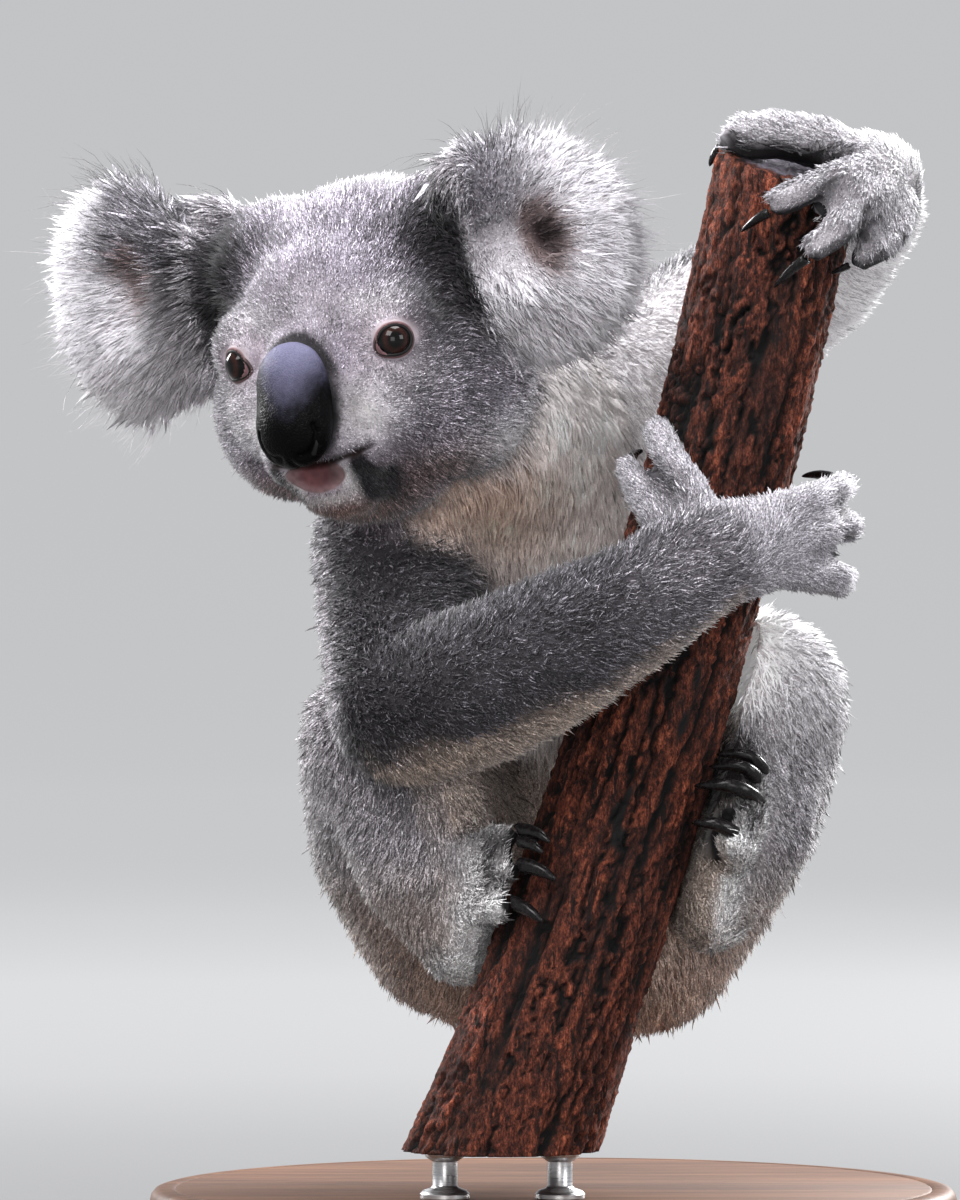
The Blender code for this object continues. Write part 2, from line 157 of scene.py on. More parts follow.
def set_points(mesh, points):
    mesh.vertices.foreach_set("co", (points * MM).astype(np.float32).ravel())
    mesh.update()


def get_edges(mesh):
    flat = np.empty(len(mesh.edges) * 2, np.int32)
    mesh.edges.foreach_get("vertices", flat)
    return flat.reshape(-1, 2)


def get_triangles(mesh):
    mesh.calc_loop_triangles()
    corners = np.empty(len(mesh.loop_triangles) * 3, np.int32)
    mesh.loop_triangles.foreach_get("vertices", corners)
    loops = np.empty(len(mesh.loop_triangles) * 3, np.int32)
    mesh.loop_triangles.foreach_get("loops", loops)
    return corners.reshape(-1, 3), loops.reshape(-1, 3)


def unit(rows):
    return rows / np.maximum(np.linalg.norm(rows, axis=-1, keepdims=True), 1e-9)


def vertex_normals(points, triangles):
    a, b, c = (points[triangles[:, i]] for i in range(3))
    facing = np.cross(b - a, c - a)
    total = np.zeros_like(points)
    for corner in range(3):
        for axis in range(3):
            total[:, axis] += np.bincount(triangles[:, corner], facing[:, axis], len(points))
    return unit(total)


def averaged(values, edges, rounds, share=1.0):
    """Each vertex moves towards its neighbours' mean, over and over."""
    first, second = edges[:, 0], edges[:, 1]
    size = len(values)
    neighbours = np.maximum(np.bincount(edges.ravel(), minlength=size), 1)
    out = values.astype(float).copy()
    columns = out.reshape(size, -1)
    for _ in range(rounds):
        for k in range(columns.shape[1]):
            column = columns[:, k]
            total = np.bincount(first, column[second], size)
            total += np.bincount(second, column[first], size)
            columns[:, k] += share * (total / neighbours - column)
    return out


def relaxed(points, edges, rounds, weight):
    """Smooths facets away without shrinking the form: one step in, one step out."""
    out = points.copy()
    for _ in range(rounds):
        out += 0.5 * weight * (averaged(out, edges, 1) - out)
        out -= 0.52 * weight * (averaged(out, edges, 1) - out)
    return out


def ramp(values, low, high):
    """0 below low, 1 above high, smooth between."""
    t = np.clip((values - low) / (high - low), 0, 1)
    return t * t * (3 - 2 * t)


def fade(values, low, high):
    """1 below low, 0 above high, smooth between."""
    return 1 - ramp(values, low, high)


def bell(values, width):
    """1 where the values are 0, falling softly away on both sides over about a width."""
    return np.exp(-((values / width) ** 2))


def mix(a, b, share):
    share = np.asarray(share)[..., None]
    return np.asarray(a) * (1 - share) + np.asarray(b) * share


print("helpers ready")

# %% [markdown]
# The head is turned and tilted, and its features are easiest to place in its own frame: x to the
# animal's left, y back, z up. Both eyes and the nose, which are nodes of their own, fix that frame.

# %% The head's own frame
def node_points(name):
    return get_points(nodes[name].data)


def node_centre(name):
    return Vector(node_points(name).mean(0))


FACE = {
    # where the head's own frame has the middles of three nodes
    "eye_left": (36.0, -51.3, 3.9),
    "eye_right": (-31.3, -52.5, 4.1),
    "nose": (-0.8, -75.0, -14.7),
}


def basis(first, second, third):
    """Three square axes through three points."""
    across = (second - first).normalized()
    square = across.cross(third - first).normalized()
    return np.array([across, square, square.cross(across)])


own_places = [Vector(place) for place in FACE.values()]
packed_places = [node_centre(name) for name in FACE]
HEAD_AXES = basis(*own_places).T @ basis(*packed_places)
HEAD_ORIGIN = np.array(packed_places[0]) - np.array(own_places[0]) @ HEAD_AXES


def to_head(points):
    return (points - HEAD_ORIGIN) @ HEAD_AXES.T


def from_head(points):
    return np.asarray(points, float) @ HEAD_AXES + HEAD_ORIGIN


def side_signs(points):
    """Factors that mirror the animal's right side onto its left."""
    return np.where(points[:, :1] < 0, [[-1, 1, 1]], [[1, 1, 1]])


def near(points, centre, size):
    """1 at the centre of a soft spot, fading to 0 about a size away; size is one number or three."""
    return np.exp(-(((points - np.array(centre)) / np.array(size)) ** 2).sum(-1))


print("head at", HEAD_ORIGIN.round(1), "nose at", to_head(np.array(packed_places[2])).round(1))

# %% [markdown]
# The trunk is the other thing that places depend on. Its axis leans and its girth changes along it,
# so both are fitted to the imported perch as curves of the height.

# %% The trunk's axis and girth
trunk_x, trunk_y, trunk_z = node_points("perch").T
TRUNK_LOW, TRUNK_HIGH = trunk_z.min(), trunk_z.max()
TRUNK_Y = trunk_y.mean()
TRUNK_TOP = 431.0  # height of the sawn top at its middle
TOP_TILT, TOP_FACE = 0.24, 0.27  # the sawn top's fall to one side and to the front
FAR = 99.0  # stands for any distance too far to matter
axis_curve = np.polyfit(trunk_z, trunk_x, 2)
from_axis = np.hypot(trunk_x - np.polyval(axis_curve, trunk_z), trunk_y - TRUNK_Y)
girth_curve = np.polyfit(trunk_z, from_axis, 3)


def trunk_offset(points):
    """How far points lie from the trunk's surface, and the way straight out of it."""
    out = points.copy()
    out[:, 0] -= np.polyval(axis_curve, points[:, 2])
    out[:, 1] -= TRUNK_Y
    out[:, 2] = 0
    reach = np.linalg.norm(out, axis=1)
    way = out / np.maximum(reach, 1e-6)[:, None]
    inside = reach - np.polyval(girth_curve, points[:, 2])
    return np.where(points[:, 2] > TRUNK_HIGH, FAR, inside), way


def sawn_top(points):
    """How high points lie over the sawn top, and how far from its middle, sideways."""
    aside = points[:, :2] - [np.polyval(axis_curve, TRUNK_TOP), TRUNK_Y]
    fall = TOP_TILT * aside[:, 0] + TOP_FACE * np.maximum(-aside[:, 1], 0)
    return points[:, 2] - TRUNK_TOP + fall, aside


print("trunk radius", np.polyval(girth_curve, [TRUNK_LOW, TRUNK_HIGH]).round(1), "mm")

# %% [markdown]
# The skin is one surface over all nodes of flesh, so that no seam shows. The nodes stand a hair's
# breadth apart, so copies of them are grown a little until they touch, joined, and wrapped by a voxel
# remesh, which keeps only the outer surface. Eyes and nose are wrapped too: their beds are shaped
# later. A decimate then spends fewer triangles where the form is plain.

# %% One skin over the flesh
SKIN_VOXEL = 1.9
SKIN_TRIANGLES = 104000
skin = joined([merged_copy(name, 0.5) for name in FLESH + ["eye_left", "eye_right", "nose"]])
skin.name = "skin"
skin.data.name = "skin"
apply_modifier(skin, "REMESH", mode="VOXEL", voxel_size=SKIN_VOXEL * MM)
apply_modifier(skin, "TRIANGULATE")
print("wrapped:", len(skin.data.polygons), "triangles")
apply_modifier(skin, "DECIMATE", ratio=SKIN_TRIANGLES / len(skin.data.polygons))
skin.data.materials.clear()


def keep_largest(mesh):
    """Drops loose crumbs that the wrap left inside."""
    edges = get_edges(mesh)
    label = np.arange(len(mesh.vertices))
    while True:
        low = np.minimum(label[edges[:, 0]], label[edges[:, 1]])
        before = label.copy()
        np.minimum.at(label, edges[:, 0], low)
        np.minimum.at(label, edges[:, 1], low)
        label = label[label]
        if (label == before).all():
            break
    names, sizes = np.unique(label, return_counts=True)
    loose = np.flatnonzero(label != names[sizes.argmax()])
    bm = bmesh.new()
    bm.from_mesh(mesh)
    bm.verts.ensure_lookup_table()
    bmesh.ops.delete(bm, geom=[bm.verts[i] for i in loose], context="VERTS")
    bm.to_mesh(mesh)
    bm.free()
    return len(loose)


print("crumbs dropped:", keep_largest(skin.data), "left:", len(skin.data.polygons), "triangles")

# %% [markdown]
# The coat differs from part to part: long and loose on ears, chest and rump, short on face and hands.
# The wrap has lost the nodes' names, so each skin point learns which node it came from, by the nearest
# of many points spread over the nodes.

# %% Which part each point of skin belongs to
def spread_over(points, triangles, spacing):
    """Points spread evenly over the triangles, about a spacing apart."""
    a, b, c = (points[triangles[:, i]] for i in range(3))
    area = np.linalg.norm(np.cross(b - a, c - a), axis=1) / 2
    draw = np.random.default_rng(3)
    which = draw.choice(len(triangles), int(area.sum() / spacing**2), p=area / area.sum())
    u, v = draw.random((2, len(which)))
    fold = u + v > 1
    u, v = np.where(fold, 1 - u, u), np.where(fold, 1 - v, v)
    return a[which] + u[:, None] * (b - a)[which] + v[:, None] * (c - a)[which]


PART_SPACING = 3.5
labels = []
samples = []
for index, name in enumerate(FLESH):
    triangles, _ = get_triangles(nodes[name].data)
    spots = spread_over(node_points(name), triangles, PART_SPACING)
    samples.append(spots)
    labels += [index] * len(spots)
samples = np.concatenate(samples)
part_tree = KDTree(len(samples))
for index, spot in enumerate(samples):
    part_tree.insert(spot, index)
part_tree.balance()

outer = get_points(skin.data)
edges = get_edges(skin.data)
part_of = np.array([labels[part_tree.find(spot)[1]] for spot in outer])
print({name: int((part_of == i).sum()) for i, name in enumerate(FLESH)})


def on_parts(*starts):
    """1 on the named parts, 0 elsewhere."""
    wanted = [i for i, name in enumerate(FLESH) if name.startswith(starts)]
    return np.isin(part_of, wanted).astype(float)


def soft_parts(rounds, *starts):
    """1 on the named parts, fading at their borders over some rounds of averaging."""
    return averaged(on_parts(*starts), edges, rounds)


def for_each_point(rows):
    """Each skin point's row of a table whose keys are the starts of part names."""
    found = [next(row for key, row in rows.items() if name.startswith(key)) for name in FLESH]
    return np.array(found)[part_of]


# %% [markdown]
# A table gives each kind of part its hair's length and width and the depth of its coat, and averaging
# over the mesh lets one part's coat pass softly into the next. The muzzle and the skin round the eyes
# have the shortest hair of all, and longer hair on the cheeks rounds the head.

# %% The coat's length, width and depth on each part, in millimetres
COAT = {
    # part: hair length, tuft width, depth of the coat
    "head": (5.6, 0.42, 3.4),
    "ear": (17.0, 0.32, 2.5),
    "neck": (11.0, 0.58, 6.0),
    "chest": (12.0, 0.6, 6.5),
    "abdomen": (9.0, 0.55, 6.0),
    "upper_arm": (6.2, 0.48, 4.8),
    "forearm": (5.6, 0.46, 4.2),
    "hand": (5.4, 0.38, 1.8),
    "thigh": (8.6, 0.54, 5.5),
    "shank": (7.4, 0.5, 4.5),
    "foot": (7.5, 0.4, 2.3),
}
BLEND_ROUNDS = 12
coat_length, coat_width, coat_depth = averaged(for_each_point(COAT), edges, BLEND_ROUNDS).T

in_head = to_head(outer)
mirrored = in_head * side_signs(in_head)
mirrored[in_head[:, 0] < 0] += [4, 1, 0]
on_head = soft_parts(4, "head")
muzzle = on_head * ramp(-in_head[:, 1], 38, 64) * ramp(40 - np.abs(in_head[:, 0]), 0, 16)
eye_ring = on_head * near(mirrored, (36, -53, 4), 17)
face = np.clip(on_head * ramp(-in_head[:, 1], 12, 52), 0, 1)
short = np.clip(np.maximum(muzzle, eye_ring) + 0.35 * face, 0, 1)
coat_length = coat_length * (1 - 0.55 * short)
coat_width = coat_width * (1 - 0.25 * short)
coat_depth = coat_depth * (1 - 0.6 * short)
cheek = on_head * near(mirrored, (58, -22, -34), (26, 26, 26))
coat_length *= 1 + 0.45 * cheek
print("coat", coat_length.min().round(1), "to", coat_length.max().round(1), "mm long")

# %% [markdown]
# Now the skin sinks into the solids by the coat's depth. Facets of the nodes are relaxed first, less
# on the thin digits, which would lose their joints. An ear is a thin fan under deep fluff, and sinking
# it along its normals would turn its rim inside out, so it is drawn in towards its own middle instead.

# %% Sink the skin by the coat's depth
EARS = {"ear_right": (-106, -12, 34.5), "ear_left": (84, -10, 29)}  # the fans' middles
EAR_SHRINK = (0.79, 0.6, 0.79)
EAR_SIZE = (50, 17, 54)
EAR_TURN_Z, EAR_TURN_Y = 14, -12


def ear_frame(name):
    """The ear's side, the fan's middle, and its own axes: outwards, back and up."""
    middle = np.array(EARS[name])
    side = 1 if middle[0] > 0 else -1
    turn = Matrix.Rotation(math.radians(side * EAR_TURN_Z), 3, "Z")
    turn = turn @ Matrix.Rotation(math.radians(side * EAR_TURN_Y), 3, "Y")
    return side, middle, np.array(turn).T @ HEAD_AXES


triangles, loops = get_triangles(skin.data)
stiff = soft_parts(3, "hand", "foot")
smooth_head = soft_parts(3, "head", "ear")
points = relaxed(outer, edges, 45, (1 - 0.86 * stiff - 0.35 * smooth_head)[:, None])
normals = vertex_normals(points, triangles)
ear_share = {}
sink = coat_depth[:, None] * normals
for name in EARS:
    side, middle, fan_axes = ear_frame(name)
    own = (points - from_head(middle)) @ fan_axes.T
    drawn_in = own * EAR_SHRINK
    share = soft_parts(8, name) * ramp(side * to_head(points)[:, 0], 52, 72)
    away = (own - drawn_in) @ fan_axes
    sink = mix(sink, away, share)
    ear_share[name] = share
skin_points = points - sink
coat_room = np.linalg.norm(outer - skin_points, axis=1)
print("skin sinks by", coat_room.min().round(1), "to", coat_room.max().round(1), "mm")

# %% [markdown]
# The face is where a small error shows, so it is shaped in the head's frame. Sculpting could do it
# too, but formulas can be read and changed. The mesh round the eyes and the mouth is divided first,
# so that it has points enough for such detail. Division loses what the points carried, unless it is
# stored on the mesh, so lengths, widths and parts ride along as attributes.

# %% Divide the face finely
def divide(mesh, chosen):
    """Halves every edge that has both its ends among the chosen points."""
    bm = bmesh.new()
    bm.from_mesh(mesh)
    bm.verts.ensure_lookup_table()
    keep = [e for e in bm.edges if chosen[e.verts[0].index] and chosen[e.verts[1].index]]
    bmesh.ops.subdivide_edges(bm, edges=keep, cuts=1, use_grid_fill=True)
    bmesh.ops.triangulate(bm, faces=[f for f in bm.faces if len(f.verts) > 3])
    bm.to_mesh(mesh)
    bm.free()


carried = {
    "length": coat_length,
    "width": coat_width,
    "room": coat_room,
    "part": part_of.astype(float),
    "ear_left": ear_share["ear_left"],
    "ear_right": ear_share["ear_right"],
}
for name, values in carried.items():
    layer = skin.data.attributes.new(name, "FLOAT", "POINT")
    layer.data.foreach_set("value", values.astype(np.float32))
set_points(skin.data, skin_points)
EYES = np.array([FACE["eye_left"], FACE["eye_right"]]) * [[1, 1, 1], [-1, 1, 1]]  # right one mirrored
EYE_RADIUS = 8.6


def mirrored_in(points):
    """Points with the right side mirrored onto the left, and the row of the eye on their side."""
    return points * side_signs(points), (points[:, 0] < 0).astype(int)


for reach in (30, 21):
    here = to_head(get_points(skin.data))
    pair, whose = mirrored_in(here)
    close_to_eye = np.linalg.norm(pair - EYES[whose], axis=1) < reach * 0.8
    from_mouth = (here - [0, -66, -42]) / [1.35, 1, 0.9]
    close_to_mouth = (np.linalg.norm(from_mouth, axis=1) < reach) & (here[:, 1] < -40)
    divide(skin.data, close_to_eye | close_to_mouth)
for name in carried:
    layer = skin.data.attributes[name]
    values = np.empty(len(skin.data.vertices), np.float32)
    layer.data.foreach_get("value", values)
    carried[name] = values.astype(float)
    skin.data.attributes.remove(layer)
part_of = carried["part"].round().astype(int)
edges = get_edges(skin.data)
triangles, loops = get_triangles(skin.data)
print("skin:", len(triangles), "triangles")

# %% [markdown]
# Each eye lies in a round bed, and the skin hugs the ball up to the lid's edge, with a low fold above
# it. A point near an eye moves along its own line from the ball's middle, to a reach that depends only
# on its angle from the gaze, so that the opening stays a clean oval.

# %% Eye beds and lids
GAZES = unit(np.array([(0.62, -0.78, 0.08), (0.48, -0.87, 0.08)]))  # left eye, right one mirrored
LID_WIDE, LID_HIGH = 51, 43  # degrees from the gaze to the lid's edge, sideways and upwards
CORNER_TURN = 0.4  # radians by which the eye's inner corner points below the level


def lid_angle(toward, gazes):
    """Degrees from the gaze, with the lid's edge at LID_WIDE all round, and the turn about it."""
    off = np.degrees(np.arccos(np.clip((toward * gazes).sum(1), -1, 1)))
    aside = unit(np.cross([0, 0, 1], gazes))
    turn = np.arctan2((toward * np.cross(gazes, aside)).sum(1), (toward * aside).sum(1))
    return off * LID_WIDE / np.hypot(LID_WIDE * np.cos(turn), LID_HIGH * np.sin(turn)), turn


skin_points = get_points(skin.data)
skin_points = relaxed(skin_points, edges, 6, np.ones((len(skin_points), 1)) * 0.6)
here = to_head(skin_points)
pair, whose = mirrored_in(here)
sides = side_signs(here)
here_normals = vertex_normals(skin_points, triangles) @ HEAD_AXES.T

from_eye = pair - EYES[whose]
reach = np.linalg.norm(from_eye, axis=1)
toward = from_eye / np.maximum(reach, 1e-6)[:, None]
angle, _ = lid_angle(toward, GAZES[whose])
above = toward[:, 2]
bed = EYE_RADIUS - 1.8
lid = EYE_RADIUS + 0.55 + 0.5 * ramp(above, 0, 0.7)
raised = np.maximum(reach, lid) + 0.9 * bell(angle - 72, 10) * ramp(above, -0.1, 0.5)
raised -= 0.5 * bell(angle - 92, 8) * ramp(above, 0.0, 0.5)
past = np.maximum(reach, EYE_RADIUS + 0.6)
hugging = mix(lid[:, None], raised[:, None], ramp(angle, 60, 74))[:, 0]
past_lid = mix(hugging[:, None], past[:, None], ramp(angle, 72, 110))[:, 0]
wanted = np.where(angle < LID_WIDE, bed, past_lid)
pull = fade(reach, 12, 18)
new_reach = np.where(angle < 125, reach + (wanted - reach) * pull, reach)
pair = EYES[whose] + toward * new_reach[:, None]
shaped = pair * sides
print("lids open to", LID_WIDE, "degrees sideways and", LID_HIGH, "upwards")

# %% [markdown]
# The skin draws back behind the nose, whose leather is a piece of its own. The mouth is a slit that
# rises from under the nose to each corner, between a full upper lip and a fleshy lower one with a
# crease below. All are soft ridges and grooves that follow the height over the slit.

# %% Nose bed and mouth
MOUTH_HALF = 23.5  # from the middle to a corner
MOUTH_LOW, MOUTH_HIGH = -38.5, -35.0  # the slit's height in the middle and at its corners


def mouth_line(x):
    """Height of the mouth's slit: low under the nose, rising to the corners."""
    share = np.clip(np.abs(x) / MOUTH_HALF, 0, 1)
    return MOUTH_LOW + (MOUTH_HIGH - MOUTH_LOW) * share**2


inside_oval = 1 - ((shaped[:, 0] / 14.5) ** 2 + ((shaped[:, 2] + 15) / 23) ** 2)
shaped[:, 1] += 4.5 * ramp(inside_oval, 0, 0.45) * (shaped[:, 1] < -50)

front = ramp(-shaped[:, 1], 46, 56)
across_mouth = np.abs(shaped[:, 0])
in_mouth = fade(across_mouth, MOUTH_HALF - 1, MOUTH_HALF + 4)
drop = shaped[:, 2] - mouth_line(shaped[:, 0])
slit = bell(drop, 1.1) * in_mouth * front
lower_lip = bell(drop + 6.0, 5.0) * fade(across_mouth, 11, 25) * front
lip_crease = bell(drop + 15.5, 2.4) * fade(across_mouth, 10, 24) * front
upper_lip = bell(drop - 4.0, 3.5) * ramp(across_mouth, 5, 12) * fade(across_mouth, 20, 29) * front
lift_out = -3.0 * slit + 0.9 * lower_lip - 0.8 * lip_crease + 1.3 * upper_lip
shaped += here_normals * lift_out[:, None]
skin_points = from_head(shaped)
set_points(skin.data, skin_points)
normals = vertex_normals(skin_points, triangles)
print("mouth", 2 * MOUTH_HALF, "mm wide, its slit up to", -lift_out.min().round(1), "mm deep")

# %% [markdown]
# Each ear is a fan with a small deep hollow near its middle, pressed in along the fan's own axis. The
# place of every point on its fan, as shares of the fan's size, is kept for the ears' colours.

# %% Hollow the ears
HOLLOW = {"ear_left": (0.12, 0.06), "ear_right": (-0.28, 0.20)}
HOLLOW_SIZE = (0.19, 0.25)
HOLLOW_DEPTH = 4.2

ear_weight = np.zeros(len(skin_points))
fan_place = np.zeros((len(skin_points), 3))
hollow = np.zeros(len(skin_points))
for name in EARS:
    side, middle, fan_axes = ear_frame(name)
    share = ramp(carried[name], 0.15, 0.7)
    own = (skin_points - from_head(middle)) @ fan_axes.T / EAR_SIZE * [side, 1, 1]
    fan_place = mix(fan_place, own, share)
    ear_weight = np.maximum(ear_weight, share)
    spot = near(own[:, [0, 2]], HOLLOW[name], HOLLOW_SIZE) * ramp(-own[:, 1], -0.15, 0.1) * share
    hollow = np.maximum(hollow, spot)
    skin_points = skin_points + fan_axes[1] * (HOLLOW_DEPTH * spot)[:, None]
print("hollows on", int((hollow > 0.3).sum()), "points")

# %% [markdown]
# The digits of a paw lie close together, so only creases part them: grooves in the skin, darkened
# with painted shade. Their lines are known from the imported claws: each runs from the middle of its
# paw to the root of its claw. A point about as far from two such lines lies in a crease. The left palm
# lies over the trunk's sawn top, so the skin of its pads reaches down to the wood.

# %% Part the digits
CREASE_DEPTH = 3.0
PAD_BULGE = 6.0  # how far the palm's skin may reach down to the sawn top
PAWS = ("hand_left", "hand_right", "foot_left", "foot_right")
CLAWS = sorted(name for name in nodes if name.startswith("claw_"))


def claw_root(name, spots):
    """The middle of the end of a claw that lies at its paw."""
    paw = name[5:].rsplit("_", 1)[0]
    gaps = np.linalg.norm(spots - np.array(node_centre(paw)), axis=1)
    return spots[gaps.argsort()[:4]].mean(0)


claw_roots = {}
for paw in PAWS:
    own = [name for name in CLAWS if paw in name]
    claw_roots[paw] = [claw_root(name, node_points(name)) for name in own]

crease = np.zeros(len(skin_points))
digit_way = np.zeros((len(skin_points), 3))
nail = np.full(len(skin_points), FAR)
for paw in PAWS:
    on_this = on_parts(paw)
    start = np.array(node_centre(paw))
    reaches, places = [], []
    for root in claw_roots[paw]:
        way = root - start
        place = np.clip((skin_points - start) @ way / (way @ way), 0, 1.15)
        reaches.append(np.linalg.norm(skin_points - start - place[:, None] * way, axis=1))
        places.append(place)
        gap = np.linalg.norm(skin_points - root, axis=1)
        nail = np.minimum(nail, np.where(on_this > 0, gap, FAR))
    order = np.argsort(reaches, axis=0)
    first = np.take_along_axis(np.array(reaches), order[:1], 0)[0]
    second = np.take_along_axis(np.array(reaches), order[1:2], 0)[0]
    place = np.take_along_axis(np.array(places), order[:1], 0)[0]
    ways = unit(np.array(claw_roots[paw]) - start)
    digit_way = np.where(on_this[:, None] > 0, ways[order[0]], digit_way)
    here_crease = bell(second - first, 2.5) * ramp(place, 0.4, 0.62) * on_this
    crease = np.maximum(crease, here_crease)
crease = averaged(crease, edges, 1)
over_sawn, aside = sawn_top(skin_points)
palm = on_parts("hand_left") * ramp(-normals[:, 2], 0.1, 0.5) * fade(np.hypot(*aside.T), 27, 32)
lowered = np.minimum(0, np.maximum(0.9 - over_sawn, -PAD_BULGE))
skin_points[:, 2] += averaged(palm * lowered, edges, 1)
skin_points = skin_points - normals * (CREASE_DEPTH * crease)[:, None]
set_points(skin.data, skin_points)
normals = vertex_normals(skin_points, triangles)
here = to_head(skin_points)
skin_x, _, skin_z = skin_points.T
out_x, out_y, out_z = normals.T
head_x, head_y, head_z = here.T
print("creases on", int((crease > 0.3).sum()), "points")

# %% [markdown]
# Hair lies in a direction. On the trunk of the body and the legs it runs down, on the arms towards
# the hand, on the head back and outwards from the nose, on the ears outwards from their root, and
# round the eyes away from them, so that no hair crosses an eye. One direction for each part is
# averaged over the mesh into a smooth field.

# %% The lie of the coat
def heading(start, end):
    return unit(np.array(node_centre(end) - node_centre(start)))


DOWN = np.array([0.0, 0.0, -1.0])
lie = np.tile(DOWN, (len(skin_points), 1))


def lay(starts, way):
    lie[on_parts(starts) > 0] = unit(np.asarray(way, float))


lay("neck", DOWN * 0.9 + [0, -0.2, 0])
lay("abdomen", DOWN + [0, 0.25, 0])
for side in ("left", "right"):
    out = 1 if side == "left" else -1
    lay("upper_arm_" + side, DOWN * 0.9 + heading("upper_arm_" + side, "forearm_" + side) * 0.5)
    lay("forearm_" + side, heading("forearm_" + side, "hand_" + side) + DOWN * 0.45)
    lay("thigh_" + side, DOWN + [0.35 * out, 0.25, 0])
    lay("shank_" + side, DOWN + [0.3 * out, 0, 0])
lay("upper_arm_left", (0.45, 0.1, -0.6))
lay("forearm_left", (0.75, -0.1, -0.15))
on_digits = np.abs(digit_way).sum(1) > 0
lie[on_digits] = digit_way[on_digits]
is_head = on_parts("head") > 0
lie[is_head] = unit((here[is_head] - [0, -58, -14]) * [1, 1, 0.9]) @ HEAD_AXES

for side in (-1, 1):
    root = np.array([side * 64, -4, 26])
    outwards = unit(here - root)
    outwards[:, 2] -= 0.3
    lie = unit(mix(lie, unit(outwards) @ HEAD_AXES, ear_weight * (head_x * side > 0)))

pair, whose = mirrored_in(here)
from_eye = pair - EYES[whose]
away = unit(from_eye) * side_signs(here)
eye_reach = np.linalg.norm(from_eye, axis=1)


def out_of_skin(ways):
    """The ways without the share that points into the skin."""
    into = np.minimum((ways * normals).sum(1), 0)
    return unit(ways - into[:, None] * normals)


for _ in range(9):
    lie = out_of_skin(averaged(lie, edges, 3))
lie = unit(mix(lie, away @ HEAD_AXES, 0.85 * fade(eye_reach, 11, 18) * is_head))
lie = out_of_skin(lie)
print("lie of the coat set on", len(lie), "points")

# %% [markdown]
# Much of the body is pressed against the trunk or tucked under a limb, where nobody can look. A few
# short rays from each point of skin tell how open it lies, and the coat is planted thinly where the
# rays are blocked, which saves triangles for where they show.

# %% How open the skin lies
OPEN_RAYS = 7
OPEN_REACH = 0.07
whole_tree = BVHTree.FromPolygons((skin_points * MM).tolist(), triangles.tolist())
draw = np.random.default_rng(11)
open_share = np.zeros(len(skin_points))
starts = (skin_points + normals * 1.5) * MM
for _ in range(OPEN_RAYS):
    ways = unit(normals + 0.95 * unit(draw.normal(size=normals.shape)))
    for index, (start, way) in enumerate(zip(starts, ways)):
        if whole_tree.ray_cast(start, way, OPEN_REACH)[0] is None:
            open_share[index] += 1 / OPEN_RAYS
off_trunk, trunk_way = trunk_offset(skin_points)
facing_trunk = -(normals * trunk_way).sum(1)
open_share *= 1 - 0.9 * ramp(facing_trunk, 0.2, 0.7) * fade(off_trunk, 2, 9)
openness = averaged(open_share, edges, 5)
print("open share", openness.mean().round(2))

# %% [markdown]
# A koala's palms and soles are black bare pads that grip the bark. They are found as the skin of hands
# and feet that faces the trunk closely. The toes' backs stay furry up to the claws. Painted shade
# makes the skin and fur beside the foot claws and in the deep gap between foot and trunk near black.

# %% Pads
on_paw = soft_parts(2, "hand", "foot")
pads = on_paw * ramp(facing_trunk, 0.05, 0.35) * fade(off_trunk, 12, 19)
palm_left = soft_parts(1, "hand_left") * ramp(-out_z, 0.45, 0.8)
pads = np.clip(np.maximum(pads, palm_left * fade(off_trunk, 17, 24)), 0, 1)
on_foot = soft_parts(1, "foot")
over_sawn, aside = sawn_top(skin_points)
underside = fade(over_sawn, 8.5, 12) * ramp(over_sawn, -3, 0) * fade(np.hypot(*aside.T), 29, 37)
underside *= fade(aside[:, 0], 10, 24) * ramp(-out_y - out_z, 0.1, 0.5)
pads = np.maximum(pads, soft_parts(1, "hand_left") * underside)
pads *= 1 - on_foot * ramp(nail, 24, 32)
pads = np.maximum(pads, on_paw * fade(openness, 0.12, 0.28) * (1 - on_foot * ramp(nail, 20, 26)))
foot_roots = np.array(claw_roots["foot_left"] + claw_roots["foot_right"])
to_claw = np.linalg.norm(skin_points[:, None] - foot_roots, axis=2).min(1)
# painted shade: near black beside the foot claws at the trunk, and deeper in the gap behind them
shade_by_claws = fade(to_claw, 20, 32) * ramp(facing_trunk, -0.45, 0.05) * fade(off_trunk, 9, 14)
shade_in_gap = fade(to_claw, 30, 44) * ramp(facing_trunk, 0, 0.4) * fade(off_trunk, 24, 32)
shade_by_claws = np.maximum(shade_by_claws, shade_in_gap * (1 - on_foot))
shade_by_claws *= 1 - soft_parts(2, "thigh_left", "shank_left") * ramp(skin_z, 200, 212)
nail_bed = fade(nail - 2.4 * on_foot, 3.4, 5.6)
pads = np.maximum(pads, nail_bed)
print("pads on", int((pads > 0.5).sum()), "points")

# %% [markdown]
# The rims of the eyes, the skin that borders the nose, the lower lip and the slit of the mouth are
# bare as well. Hair grows where skin is neither bare nor hidden, in a crease or in an ear's hollow,
# and that share of growth decides how many tufts are planted.

